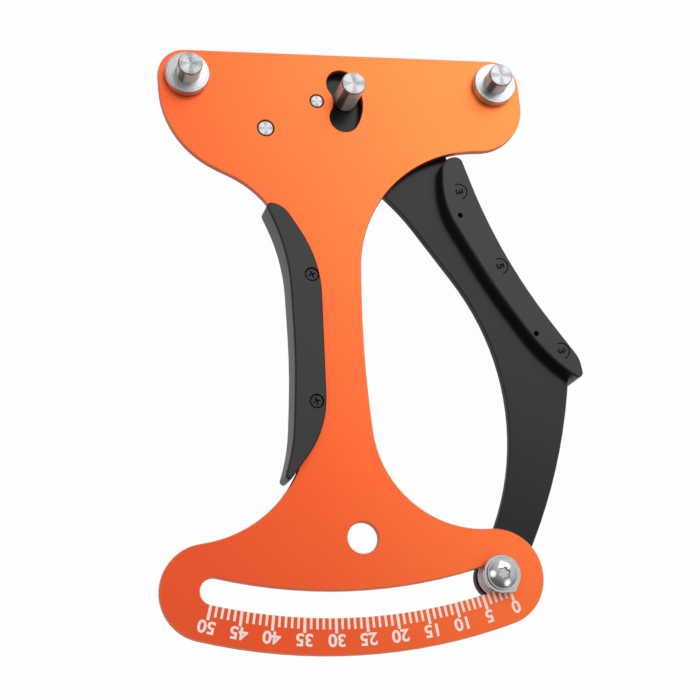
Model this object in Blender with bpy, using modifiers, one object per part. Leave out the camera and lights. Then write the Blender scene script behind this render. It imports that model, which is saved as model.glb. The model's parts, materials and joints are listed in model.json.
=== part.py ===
"""Spoke tension meter, as an assembly of separate solids.

The plate lies flat with its printed face up. In the drawing frame the lever's pivot is
the origin, +Z points out of the plate's front face, which is the level zero, and -Y runs
from the pivot down to the scale. A root empty then sets the whole tool on the floor.
"""
import math

import bmesh
import bpy
from mathutils import Vector

# Shared clearances and finishes
CLEARANCE = 0.0003
CUT_OVERRUN = 0.001
EDGE_BREAK = 0.0003
MERGE_DISTANCE = 0.000001
CHORD_ERROR = 0.00003
TURN_STEPS = 28

# Plate
PLATE_THICKNESS = 0.0025
POST_LEFT_X = -0.0425
POST_LEFT_Y = 0.0085
POST_RIGHT_X = 0.0614
POST_RIGHT_Y = 0.0056
TOP_MARGIN = 0.0094
LEFT_MARGIN = 0.0092
RIGHT_MARGIN = 0.0091
TOP_CORNER_RADIUS = 0.0091
LEFT_WING_DROP = 0.0232
LEFT_WING_RADIUS = 0.0312
LEFT_SHOULDER_DROP = 0.0430
LEFT_SHOULDER_FILLET = 0.0322
RIGHT_WING_DROP = 0.0235
RIGHT_WING_RADIUS = 0.0167
RIGHT_SHOULDER_X = 0.0125
RIGHT_SHOULDER_FILLET = 0.0436
WAIST_LEFT_X = -0.0134
WAIST_LEFT_TAPER = 0.0007
WAIST_RIGHT_X = 0.0078
WAIST_RIGHT_LEAN = math.radians(2.5)
WAIST_RIGHT_RUN = 0.0227
WAIST_RIGHT_RADIUS = 0.366
LEFT_FOOT_FILLET = 0.0393
RIGHT_FOOT_FILLET = 0.0340
RIM_WIDTH = 0.0153
LEFT_LOBE_RADIUS = 0.0147
RIGHT_LOBE_RADIUS = 0.0151
LEFT_LOBE_ANGLE = math.radians(-16.7)
RIGHT_LOBE_ANGLE = math.radians(15.05)
HANG_HOLE_X = 0.0013
HANG_HOLE_RISE = 0.020
HANG_HOLE_RADIUS = 0.0049

# Scale slot and what it reads
SCALE_RADIUS = 0.1648
SCALE_SLOT_WIDTH = 0.0082
REST_ANGLE = math.radians(15.3)
FULL_ANGLE = math.radians(-16.2)

# Slot that the middle post moves in
KIDNEY_RADIUS = 0.0106
KIDNEY_WIDTH = 0.0096
KIDNEY_TOP_ANGLE = math.radians(35.0)
KIDNEY_BOTTOM_ANGLE = math.radians(-34.5)

# Posts and their rear screws
POST_RADIUS = 0.004
POST_HEIGHT = 0.0095
POST_CHAMFER = 0.0005
POST_FLANGE_RADIUS = 0.0072
POST_FLANGE_THICKNESS = 0.003
POST_FLANGE_CHAMFER = 0.0004
POST_SCREW_RADIUS = 0.0015
POST_THREAD_DEPTH = 0.0075
POST_SCREW_ENGAGEMENT = 0.006
POST_SCREW_HEAD_RADIUS = 0.0035
POST_SCREW_HEAD_HEIGHT = 0.0022
SCREW_HEAD_ROUNDING = 0.0008
SOCKET_RADIUS = 0.0014
SOCKET_DEPTH = 0.0012
MIDDLE_POST_RADIUS_FROM_PIVOT = 0.01075
MIDDLE_POST_ANGLE = math.radians(11.3)

# Lever arm
ARM_GAP = 0.0015
ARM_THICKNESS = 0.003
ARM_HUB_REACH = 0.015
ARM_END_RADIUS = 0.0069
ARM_END_LEAN = math.radians(24.2)
ARM_SHOULDER_X = 0.0426
ARM_SHOULDER_Y = -0.0125
ARM_SHOULDER_RADIUS = 0.004
ARM_ENTRY_DEPTH = 0.0012
HUB_CORNER_SHARES = (
    (1.40, 0.53, 0.65),
    (0.67, 0.96, 0.55),
    (-0.66, 1.00, 0.29),
    (-0.63, -0.10, 0.45),
    (-0.12, -0.57, 0.40),
)
ARM_INNER_SHARES = (
    (0.158, -0.229, 0.44),
    (0.433, -0.657, 0.56),
    (0.232, -0.940, 0.093),
)
ARM_OUTER_SHARES = (0.390, 0.077, 2.17)

# Pivot
PIVOT_PIN_RADIUS = 0.002
PIVOT_PIN_RECESS = 0.0001
PIVOT_BUSHING_WALL = 0.001
PIVOT_FLANGE_RADIUS = 0.0052
PIVOT_WASHER_RADIUS = 0.0055
PIVOT_WASHER_THICKNESS = 0.0008
PIVOT_HEAD_RADIUS = 0.004
PIVOT_HEAD_HEIGHT = 0.0015

# Return spring and the two studs that hold it
ANCHOR_X = -0.01785
ANCHOR_Y = -0.00957
ANCHOR_PIN_RADIUS = 0.00245
ANCHOR_COLLAR_RADIUS = 0.003
STUD_X_SHARE = -0.367
STUD_Y_SHARE = 0.70
STUD_SHANK_RADIUS = 0.0017
STUD_COLLAR_RADIUS = 0.0024
STUD_FLANGE_RADIUS = 0.002
STUD_FLANGE_THICKNESS = 0.0008
SPRING_WIRE_RADIUS = 0.0004
SPRING_COIL_RADIUS = 0.0019
SPRING_PITCH = 0.0014
SPRING_HOOK_RUN = 0.0012
SPRING_POINTS_PER_CURL = 10
SPRING_HOOK_POINTS = 9
SPRING_HOOK_SWEEP = math.radians(215.0)

# Left grip, on the plate's waist
LEFT_GRIP_TOP_Y = -0.0362
LEFT_GRIP_LENGTH = 0.0906
LEFT_GRIP_DEPTH = 0.0088
LEFT_GRIP_FRONT = 0.0040
LEFT_GRIP_BACK = 0.0040
GRIP_ROUNDING = 0.0006
LEFT_GRIP_SHARES = (
    (0.0, -0.91, 0.018),
    (0.185, -0.178, 0.69),
    (0.587, -0.269, 2.67),
    (0.892, -0.628, 0.67),
    (1.052, -1.28, 0.013),
    (0.8245, 0.682, 0.353),
    (0.2185, 1.0, 0.44),
    (0.011, -0.205, 0.088),
)
LEFT_GRIP_SCREW_SHARES = ((0.274, 0.614), (0.729, 0.363))

# Right grip, on the lever
RIGHT_GRIP_TOP_X = 0.0466
RIGHT_GRIP_TOP_Y = -0.0199
RIGHT_GRIP_LENGTH = 0.0843
RIGHT_GRIP_LEAN = math.radians(22.9)
RIGHT_GRIP_DEPTH = 0.0135
RIGHT_GRIP_FRONT = 0.00475
RIGHT_GRIP_BACK = 0.00525
GRIP_WEB = 0.002
RIGHT_GRIP_OUTER_SHARES = (
    (0.0, -0.026, 0.014),
    (1.020, -0.023, 0.021),
    (0.920, -0.205, 0.109),
    (0.435, 0.340, 2.05),
)
RIGHT_GRIP_INNER_SHARES = (
    (-0.023, 0.439, 0.059),
    (0.142, 1.015, 0.36),
    (0.519, 0.857, 2.40),
    (0.860, 0.492, 0.71),
)
RIGHT_GRIP_SCREW_SHARES = ((0.216, 0.749), (0.762, 0.524))
RIGHT_GRIP_PILOT_RADIUS = 0.00115

# Grip screws
GRIP_SCREW_RADIUS = 0.00085
GRIP_SCREW_HEAD_RADIUS = 0.00205
GRIP_SCREW_HEAD_HEIGHT = 0.0011
GRIP_SCREW_RECESS = 0.0002
GRIP_SCREW_TIP_GAP = 0.0012

# Pointer stack at the lever's end
POINTER_HOLE_RADIUS = 0.0025
POINTER_RADIUS = 0.00595
POINTER_THICKNESS = 0.001
POINTER_TIP_REACH = 0.0068
POINTER_TIP_RADIUS = 0.0004
POINTER_TIP_LEAN = math.radians(29.5)
POINTER_LIFT = 0.002
SPACER_RADIUS = 0.006
POINTER_SCREW_RADIUS = 0.0022
POINTER_HEAD_RADIUS = 0.00475
POINTER_HEAD_HEIGHT = 0.0021
POINTER_HEAD_RIM = 0.0005
POINTER_DOME_STEPS = 6
POINTER_RECESS_RADIUS = 0.0017
POINTER_RECESS_WAVE = 0.0003
POINTER_RECESS_DEPTH = 0.0011
POINTER_RECESS_LOBES = 6
POINTER_RECESS_STEPS = 36
NUT_RADIUS = 0.0046
NUT_THICKNESS = 0.0024
NUT_SIDES = 6
SCREW_TIP_LENGTH = 0.0005

# Levels worked out from the sizes above
PLATE_BACK = -PLATE_THICKNESS
ARM_FRONT = PLATE_BACK - ARM_GAP
ARM_BACK = ARM_FRONT - ARM_THICKNESS
SPRING_LEVEL = ARM_BACK - CLEARANCE - SPRING_COIL_RADIUS - SPRING_WIRE_RADIUS
HOOK_TOP = SPRING_LEVEL + SPRING_WIRE_RADIUS + CLEARANCE
HOOK_BOTTOM = SPRING_LEVEL - SPRING_WIRE_RADIUS - CLEARANCE
STUD_NECK_RADIUS = SPRING_COIL_RADIUS - SPRING_WIRE_RADIUS - CLEARANCE
BUSHING_BORE = PIVOT_PIN_RADIUS + CLEARANCE
BUSHING_RADIUS = BUSHING_BORE + PIVOT_BUSHING_WALL
POINTER_AXIS = Vector((SCALE_RADIUS * math.sin(REST_ANGLE), -SCALE_RADIUS * math.cos(REST_ANGLE)))
MIDDLE_POST = Vector((
    MIDDLE_POST_RADIUS_FROM_PIVOT * math.cos(MIDDLE_POST_ANGLE),
    MIDDLE_POST_RADIUS_FROM_PIVOT * math.sin(MIDDLE_POST_ANGLE),
))
POST_LEFT = Vector((POST_LEFT_X, POST_LEFT_Y))
POST_RIGHT = Vector((POST_RIGHT_X, POST_RIGHT_Y))
PIVOT = Vector((0.0, 0.0))
ANCHOR = Vector((ANCHOR_X, ANCHOR_Y))
STUD = Vector((STUD_X_SHARE * ARM_HUB_REACH, STUD_Y_SHARE * ARM_HUB_REACH))


def clear_scene():
    """Remove every object that the file opened with."""
    for item in list(bpy.data.objects):
        bpy.data.objects.remove(item, do_unlink=True)


def make_material(name, colour, roughness, metallic):
    """Return a Principled material."""
    material = bpy.data.materials.new(name)
    material.use_nodes = True
    shader = material.node_tree.nodes["Principled BSDF"]
    shader.inputs["Base Color"].default_value = (*colour, 1.0)
    shader.inputs["Roughness"].default_value = roughness
    shader.inputs["Metallic"].default_value = metallic
    material.diffuse_color = (*colour, 1.0)
    return material


class Assembly:
    """Collections, the root empty and the lever's empty, and how pieces join them."""

    def __init__(self):
        self.parts = bpy.data.collections.new("spoke_tension_meter")
        self.cutters = bpy.data.collections.new("cutters")
        bpy.context.scene.collection.children.link(self.parts)
        bpy.context.scene.collection.children.link(self.cutters)
        self.root = bpy.data.objects.new("meter_root", None)
        self.parts.objects.link(self.root)
        self.lever = bpy.data.objects.new("lever_pivot", None)
        self.lever.parent = self.root
        self.parts.objects.link(self.lever)

    def add(self, item, material, on_lever=False):
        """Take an object in as a piece of the plate's side or of the lever."""
        move_to(item, self.parts)
        item.data.materials.clear()
        item.data.materials.append(material)
        item.parent = self.lever if on_lever else self.root
        return item

    def add_cutter(self, item):
        """Take an object in as a cutter, drawn as wires and never rendered."""
        move_to(item, self.cutters)
        item.parent = self.root
        item.hide_render = True
        item.display_type = "WIRE"
        return item


def move_to(item, collection):
    """Link an object to one collection only."""
    for user in list(item.users_collection):
        user.objects.unlink(item)
    collection.objects.link(item)


def arc(centre, radius, start, end):
    """Points on an arc from one angle to the other, either way round."""
    largest_step = 2 * math.acos(max(0.0, 1.0 - CHORD_ERROR / radius))
    steps = max(2, math.ceil(abs(end - start) / largest_step))
    return [
        Vector((
            centre[0] + radius * math.cos(start + (end - start) * step / steps),
            centre[1] + radius * math.sin(start + (end - start) * step / steps),
        ))
        for step in range(steps + 1)
    ]


def circle(centre, radius):
    """Points round a full circle."""
    return arc(centre, radius, 0.0, math.tau)[:-1]


def arc_slot(radius, width, start, end):
    """Outline of a round-ended slot that follows an arc about the pivot."""
    half = width / 2
    first = Vector((radius * math.cos(start), radius * math.sin(start)))
    last = Vector((radius * math.cos(end), radius * math.sin(end)))
    outline = arc(PIVOT, radius + half, start, end)[:-1]
    outline += arc(last, half, end, end + math.pi)[:-1]
    outline += arc(PIVOT, radius - half, end, start)[:-1]
    outline += arc(first, half, start + math.pi, start + math.tau)[:-1]
    return outline


def rounded(corners):
    """Turn (point, radius) corners into an outline whose corners are arcs.

    A fillet that is too long for its two edges is made smaller.
    """
    count = len(corners)
    points = [Vector(point) for point, _ in corners]
    edges = [points[(i + 1) % count] - points[i] for i in range(count)]
    turns = [edges[i - 1].angle_signed(edges[i]) for i in range(count)]
    runs = [corners[i][1] * abs(math.tan(turns[i] / 2)) for i in range(count)]
    fits = [1.0] * count
    for i in range(count):
        wanted = runs[i] + runs[(i + 1) % count]
        if wanted > edges[i].length:
            fit = edges[i].length / wanted
            fits[i] = min(fits[i], fit)
            fits[(i + 1) % count] = min(fits[(i + 1) % count], fit)
    outline = []
    for i in range(count):
        radius = corners[i][1] * fits[i]
        if radius == 0.0 or turns[i] == 0.0:
            outline.append(points[i])
            continue
        before = edges[i - 1].normalized()
        side = -1.0 if turns[i] > 0.0 else 1.0
        normal = Vector((-before.y, before.x)) * side
        start = points[i] - before * runs[i] * fits[i]
        centre = start + normal * radius
        angle = math.atan2(start.y - centre.y, start.x - centre.x)
        outline += arc(centre, radius, angle, angle - turns[i])
    return outline


def plate_outline():
    """Outline of the plate, anticlockwise from its top left corner."""
    along_top = (POST_RIGHT - POST_LEFT).normalized()
    up = Vector((-along_top.y, along_top.x))
    left_x = POST_LEFT_X - LEFT_MARGIN
    right_x = POST_RIGHT_X + RIGHT_MARGIN
    top_left = POST_LEFT + up * TOP_MARGIN
    top_left += along_top * (left_x - top_left.x) / along_top.x
    top_right = POST_RIGHT + up * TOP_MARGIN
    top_right += along_top * (right_x - top_right.x) / along_top.x
    wing_y = POST_RIGHT_Y - RIGHT_WING_DROP
    left_shoulder = Vector((WAIST_LEFT_X - WAIST_LEFT_TAPER, POST_LEFT_Y - LEFT_SHOULDER_DROP))
    corners = [
        (top_left, TOP_CORNER_RADIUS),
        (Vector((left_x, POST_LEFT_Y - LEFT_WING_DROP)), LEFT_WING_RADIUS),
        (left_shoulder, LEFT_SHOULDER_FILLET),
    ]
    foot = plate_foot()
    corners += [(point, 0.0) for point in foot]
    up_waist = Vector((-math.sin(WAIST_RIGHT_LEAN), math.cos(WAIST_RIGHT_LEAN)))
    corners += [
        (foot[-1] + up_waist * WAIST_RIGHT_RUN, WAIST_RIGHT_RADIUS),
        (Vector((RIGHT_SHOULDER_X, wing_y)), RIGHT_SHOULDER_FILLET),
        (Vector((right_x, wing_y)), RIGHT_WING_RADIUS),
        (top_right, TOP_CORNER_RADIUS),
    ]
    return rounded(corners)


def plate_foot():
    """Lower half of the plate: two waist fillets, two lobes and the rim between them."""
    rim = SCALE_RADIUS + RIM_WIDTH
    left = math.radians(270.0) + LEFT_LOBE_ANGLE
    right = math.radians(270.0) + RIGHT_LOBE_ANGLE
    left_lobe = Vector((math.cos(left), math.sin(left))) * (rim - LEFT_LOBE_RADIUS)
    right_lobe = Vector((math.cos(right), math.sin(right))) * (rim - RIGHT_LOBE_RADIUS)
    left_x = WAIST_LEFT_X + WAIST_LEFT_TAPER - LEFT_FOOT_FILLET
    left_fillet = foot_fillet(left_x, LEFT_FOOT_FILLET, left_lobe, LEFT_LOBE_RADIUS)
    right_x = WAIST_RIGHT_X + RIGHT_FOOT_FILLET
    right_fillet = foot_fillet(right_x, RIGHT_FOOT_FILLET, right_lobe, RIGHT_LOBE_RADIUS)
    left_lean = math.atan2(left_fillet.y - left_lobe.y, left_fillet.x - left_lobe.x)
    right_lean = math.atan2(right_fillet.y - right_lobe.y, right_fillet.x - right_lobe.x)
    outline = arc(left_fillet, LEFT_FOOT_FILLET, 0.0, left_lean - math.pi)[:-1]
    outline += arc(left_lobe, LEFT_LOBE_RADIUS, left_lean, left)[:-1]
    outline += arc(PIVOT, rim, left, right)[:-1]
    outline += arc(right_lobe, RIGHT_LOBE_RADIUS, right, right_lean + math.tau)[:-1]
    waist = WAIST_RIGHT_LEAN - math.pi
    outline += arc(right_fillet, RIGHT_FOOT_FILLET, right_lean - math.pi, waist)
    return outline


def foot_fillet(x, radius, lobe, lobe_radius):
    """Centre of the waist fillet that touches a lobe of the foot."""
    reach = radius + lobe_radius
    return Vector((x, lobe.y + math.sqrt(reach ** 2 - (x - lobe.x) ** 2)))


def left_grip_place(along, across):
    """A place on the left grip, from its top end down and from the waist's edge inwards."""
    return Vector((
        WAIST_LEFT_X + across * LEFT_GRIP_DEPTH,
        LEFT_GRIP_TOP_Y - along * LEFT_GRIP_LENGTH,
    ))


def right_grip_place(along, across, inset=0.0):
    """A place on the right grip, from its top end down and from its outer side inwards."""
    down = Vector((math.sin(RIGHT_GRIP_LEAN), -math.cos(RIGHT_GRIP_LEAN)))
    inwards = Vector((-math.cos(RIGHT_GRIP_LEAN), -math.sin(RIGHT_GRIP_LEAN)))
    top = Vector((RIGHT_GRIP_TOP_X, RIGHT_GRIP_TOP_Y))
    return top + down * along * RIGHT_GRIP_LENGTH + inwards * (across * RIGHT_GRIP_DEPTH + inset)


def left_grip_outline():
    """Front outline of the left grip."""
    return rounded([
        (left_grip_place(along, across), radius * LEFT_GRIP_LENGTH)
        for along, across, radius in LEFT_GRIP_SHARES
    ])


def right_grip_outline():
    """Front outline of the right grip."""
    top, tip, heel, belly = RIGHT_GRIP_OUTER_SHARES
    order = (top, *RIGHT_GRIP_INNER_SHARES, tip, heel, belly)
    return rounded([
        (right_grip_place(along, across), radius * RIGHT_GRIP_LENGTH)
        for along, across, radius in order
    ])


def arm_outline():
    """Outline of the lever arm: hub, inner edge, round end and the edge inside the grip."""
    corners = [(Vector((ARM_SHOULDER_X, ARM_SHOULDER_Y)), ARM_SHOULDER_RADIUS)]
    corners += [
        (Vector((x, y)) * ARM_HUB_REACH, radius * ARM_HUB_REACH)
        for x, y, radius in HUB_CORNER_SHARES
    ]
    corners += [
        (Vector((x, y)) * SCALE_RADIUS, radius * SCALE_RADIUS)
        for x, y, radius in ARM_INNER_SHARES
    ]
    end_down = Vector((-math.sin(ARM_END_LEAN), -math.cos(ARM_END_LEAN))) * ARM_END_RADIUS
    end_side = Vector((end_down.y, -end_down.x))
    end = POINTER_AXIS + end_down - end_side
    corners.append((POINTER_AXIS + end_down + end_side, ARM_END_RADIUS))
    corners.append((end, ARM_END_RADIUS))
    inset = GRIP_WEB + CLEARANCE
    top, _, heel, belly = RIGHT_GRIP_OUTER_SHARES
    heel_place = right_grip_place(heel[0], heel[1], inset)
    edge = end - heel_place
    along, outwards, radius = ARM_OUTER_SHARES
    outer = heel_place + edge * along + Vector((-edge.y, edge.x)) * outwards
    corners.append((outer, radius * edge.length))
    corners.append((heel_place, heel[2] * RIGHT_GRIP_LENGTH))
    corners.append((right_grip_place(belly[0], belly[1], inset), belly[2] * RIGHT_GRIP_LENGTH))
    entry = right_grip_place(top[2], top[1], inset + ARM_ENTRY_DEPTH)
    corners.append((entry, ARM_SHOULDER_RADIUS))
    return rounded(corners)


def flat_curve(name, outlines, top, bottom, edge=0.0, rounding=0, grow=0.0):
    """Extrude outlines between two levels; the ones after the first are holes.

    The outlines are the finished size: a broken edge lies inside them.
    """
    curve = bpy.data.curves.new(name, "CURVE")
    curve.dimensions = "2D"
    curve.fill_mode = "BOTH"
    curve.extrude = (top - bottom) / 2 - edge
    curve.bevel_depth = edge
    curve.bevel_resolution = rounding
    curve.offset = grow - edge
    for number, outline in enumerate(outlines):
        ordered = outline if number == 0 else list(reversed(outline))
        spline = curve.splines.new("POLY")
        spline.points.add(len(ordered) - 1)
        for point, place in zip(spline.points, ordered):
            point.co = (place[0], place[1], 0.0, 1.0)
        spline.use_cyclic_u = True
    item = bpy.data.objects.new(name, curve)
    item.location = (0.0, 0.0, (top + bottom) / 2)
    bpy.context.scene.collection.objects.link(item)
    return item


def flat_mesh(name, outlines, top, bottom, edge=0.0, rounding=0, grow=0.0):
    """The same as flat_curve, turned into a closed mesh that takes Boolean cuts."""
    source = flat_curve(name + "_outline", outlines, top, bottom, edge, rounding, grow)
    bpy.context.view_layer.update()
    evaluated = source.evaluated_get(bpy.context.evaluated_depsgraph_get())
    mesh = bpy.data.meshes.new_from_object(evaluated)
    mesh.name = name
    shape = bmesh.new()
    shape.from_mesh(mesh)
    bmesh.ops.remove_doubles(shape, verts=shape.verts, dist=MERGE_DISTANCE)
    shape.to_mesh(mesh)
    shape.free()
    item = bpy.data.objects.new(name, mesh)
    item.matrix_world = source.matrix_world
    bpy.context.scene.collection.objects.link(item)
    bpy.data.objects.remove(source, do_unlink=True)
    return item


def turned(name, profile, place, steps=TURN_STEPS):
    """Turn a profile of (radius, level) points, given from the top down, about its axis."""
    mesh = bpy.data.meshes.new(name)
    shape = bmesh.new()
    points = [shape.verts.new((radius, 0.0, level)) for radius, level in profile]
    for first, second in zip(points, points[1:]):
        shape.edges.new((first, second))
    if profile[0][0] > 0.0:
        shape.edges.new((points[-1], points[0]))
    shape.to_mesh(mesh)
    shape.free()
    item = bpy.data.objects.new(name, mesh)
    item.location = (place[0], place[1], 0.0)
    bpy.context.scene.collection.objects.link(item)
    screw = item.modifiers.new("Turn", "SCREW")
    screw.steps = steps
    screw.render_steps = steps
    screw.use_merge_vertices = True
    screw.merge_threshold = MERGE_DISTANCE
    screw.use_smooth_shade = False
    return item


def cut(assembly, item, cutter):
    """Cut one solid out of another and leave the cutter in its own collection."""
    assembly.add_cutter(cutter)
    boolean = item.modifiers.new("Cut", "BOOLEAN")
    boolean.operation = "DIFFERENCE"
    boolean.solver = "EXACT"
    boolean.object = cutter


def drill(assembly, item, name, place, radius, top, bottom):
    """Cut a round hole between two levels."""
    cut(assembly, item, flat_mesh(name, [circle(place, radius)], top, bottom))


def make_plate(assembly, material):
    """The flat plate that carries everything, with its slots and holes."""
    right_turn = math.radians(270.0)
    holes = [
        arc_slot(SCALE_RADIUS, SCALE_SLOT_WIDTH, right_turn + FULL_ANGLE, right_turn + REST_ANGLE),
        arc_slot(KIDNEY_RADIUS, KIDNEY_WIDTH, KIDNEY_BOTTOM_ANGLE, KIDNEY_TOP_ANGLE),
        circle((HANG_HOLE_X, HANG_HOLE_RISE - SCALE_RADIUS), HANG_HOLE_RADIUS),
        circle(PIVOT, PIVOT_PIN_RADIUS + CLEARANCE),
        circle(ANCHOR, ANCHOR_PIN_RADIUS + CLEARANCE),
        circle(POST_LEFT, POST_SCREW_RADIUS + CLEARANCE),
        circle(POST_RIGHT, POST_SCREW_RADIUS + CLEARANCE),
    ]
    for along, across in LEFT_GRIP_SCREW_SHARES:
        holes.append(circle(left_grip_place(along, across), GRIP_SCREW_RADIUS + CLEARANCE))
    plate = flat_curve("body_plate", [plate_outline(), *holes], 0.0, PLATE_BACK, EDGE_BREAK)
    return assembly.add(plate, material)


def make_fixed_post(assembly, material, name, place):
    """A flanged post that stands on the plate's front face."""
    foot = CLEARANCE
    flange_top = POST_FLANGE_THICKNESS
    profile = [
        (0.0, POST_HEIGHT),
        (POST_RADIUS - POST_CHAMFER, POST_HEIGHT),
        (POST_RADIUS, POST_HEIGHT - POST_CHAMFER),
        (POST_RADIUS, flange_top),
        (POST_FLANGE_RADIUS - POST_FLANGE_CHAMFER, flange_top),
        (POST_FLANGE_RADIUS, flange_top - POST_FLANGE_CHAMFER),
        (POST_FLANGE_RADIUS, foot),
        (POST_SCREW_RADIUS + CLEARANCE, foot),
        (POST_SCREW_RADIUS + CLEARANCE, foot + POST_THREAD_DEPTH),
        (0.0, foot + POST_THREAD_DEPTH),
    ]
    return assembly.add(turned(name, profile, place), material)


def make_middle_post(assembly, material):
    """The plain post on the lever, which comes up through the plate's short slot."""
    foot = ARM_FRONT + CLEARANCE
    profile = [
        (0.0, POST_HEIGHT),
        (POST_RADIUS - POST_CHAMFER, POST_HEIGHT),
        (POST_RADIUS, POST_HEIGHT - POST_CHAMFER),
        (POST_RADIUS, foot),
        (POST_SCREW_RADIUS + CLEARANCE, foot),
        (POST_SCREW_RADIUS + CLEARANCE, foot + POST_THREAD_DEPTH),
        (0.0, foot + POST_THREAD_DEPTH),
    ]
    return assembly.add(turned("moving_post", profile, MIDDLE_POST), material, on_lever=True)


def make_post_screw(assembly, material, name, place, seat, on_lever=False):
    """A round-headed socket screw that holds a post from behind."""
    under_head = seat - CLEARANCE
    back = under_head - POST_SCREW_HEAD_HEIGHT
    tip = seat + POST_SCREW_ENGAGEMENT
    profile = [
        (0.0, tip),
        (POST_SCREW_RADIUS, tip),
        (POST_SCREW_RADIUS, under_head),
        (POST_SCREW_HEAD_RADIUS, under_head),
        (POST_SCREW_HEAD_RADIUS, back + SCREW_HEAD_ROUNDING),
        (POST_SCREW_HEAD_RADIUS - SCREW_HEAD_ROUNDING, back),
        (0.0, back),
    ]
    screw = assembly.add(turned(name, profile, place), material, on_lever)
    angles = [math.tau * side / NUT_SIDES for side in range(NUT_SIDES)]
    socket = [place + Vector((math.cos(a), math.sin(a))) * SOCKET_RADIUS for a in angles]
    cutter = flat_mesh(name + "_socket", [socket], back + SOCKET_DEPTH, back - CUT_OVERRUN)
    cut(assembly, screw, cutter)
    return screw


def make_arm(assembly, material):
    """The flat lever arm behind the plate."""
    holes = [
        circle(PIVOT, BUSHING_RADIUS + CLEARANCE),
        circle(MIDDLE_POST, POST_SCREW_RADIUS + CLEARANCE),
        circle(STUD, STUD_SHANK_RADIUS + CLEARANCE),
        circle(POINTER_AXIS, POINTER_SCREW_RADIUS + CLEARANCE),
    ]
    for along, across in RIGHT_GRIP_SCREW_SHARES:
        holes.append(circle(right_grip_place(along, across), GRIP_SCREW_RADIUS + CLEARANCE))
    arm = flat_curve("lever_arm", [arm_outline(), *holes], ARM_FRONT, ARM_BACK, EDGE_BREAK)
    return assembly.add(arm, material, on_lever=True)


def make_pivot_pin(assembly, material):
    """The pin that the lever turns on, headed behind the washer."""
    front = -PIVOT_PIN_RECESS
    under_head = ARM_BACK - CLEARANCE - PIVOT_WASHER_THICKNESS - CLEARANCE
    back = under_head - PIVOT_HEAD_HEIGHT
    profile = [
        (0.0, front),
        (PIVOT_PIN_RADIUS, front),
        (PIVOT_PIN_RADIUS, under_head),
        (PIVOT_HEAD_RADIUS, under_head),
        (PIVOT_HEAD_RADIUS, back + EDGE_BREAK),
        (PIVOT_HEAD_RADIUS - EDGE_BREAK, back),
        (0.0, back),
    ]
    return assembly.add(turned("pivot_pin", profile, PIVOT), material)


def make_pivot_bushing(assembly, material):
    """Flanged bush: the sleeve lines the arm and the flange spaces it off the plate."""
    top = PLATE_BACK - CLEARANCE
    shoulder = ARM_FRONT + CLEARANCE
    profile = [
        (BUSHING_BORE, top),
        (PIVOT_FLANGE_RADIUS, top),
        (PIVOT_FLANGE_RADIUS, shoulder),
        (BUSHING_RADIUS, shoulder),
        (BUSHING_RADIUS, ARM_BACK),
        (BUSHING_BORE, ARM_BACK),
    ]
    return assembly.add(turned("pivot_bushing", profile, PIVOT), material, on_lever=True)


def make_pivot_washer(assembly, material):
    """Washer between the arm's back and the pin's head."""
    top = ARM_BACK - CLEARANCE
    bottom = top - PIVOT_WASHER_THICKNESS
    profile = [
        (BUSHING_BORE, top),
        (PIVOT_WASHER_RADIUS, top),
        (PIVOT_WASHER_RADIUS, bottom),
        (BUSHING_BORE, bottom),
    ]
    return assembly.add(turned("pivot_washer", profile, PIVOT), material, on_lever=True)


def stud_profile(front, shank_radius, seat, collar_radius):
    """Profile of a spring stud: shank in its hole, collar on its seat, neck and flange."""
    flange_radius = STUD_FLANGE_RADIUS
    return [
        (0.0, front),
        (shank_radius, front),
        (shank_radius, seat - CLEARANCE),
        (collar_radius, seat - CLEARANCE),
        (collar_radius, HOOK_TOP),
        (STUD_NECK_RADIUS, HOOK_TOP),
        (STUD_NECK_RADIUS, HOOK_BOTTOM),
        (flange_radius, HOOK_BOTTOM),
        (flange_radius, HOOK_BOTTOM - STUD_FLANGE_THICKNESS),
        (0.0, HOOK_BOTTOM - STUD_FLANGE_THICKNESS),
    ]


def make_spring_anchor(assembly, material):
    """The fixed stud whose bright end shows in the plate's front face."""
    profile = stud_profile(-PIVOT_PIN_RECESS, ANCHOR_PIN_RADIUS, PLATE_BACK, ANCHOR_COLLAR_RADIUS)
    return assembly.add(turned("spring_anchor_pin", profile, ANCHOR), material)


def make_spring_stud(assembly, material):
    """The stud on the lever that the spring pulls at."""
    profile = stud_profile(ARM_FRONT - CLEARANCE, STUD_SHANK_RADIUS, ARM_BACK, STUD_COLLAR_RADIUS)
    return assembly.add(turned("spring_stud", profile, STUD), material, on_lever=True)


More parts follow.
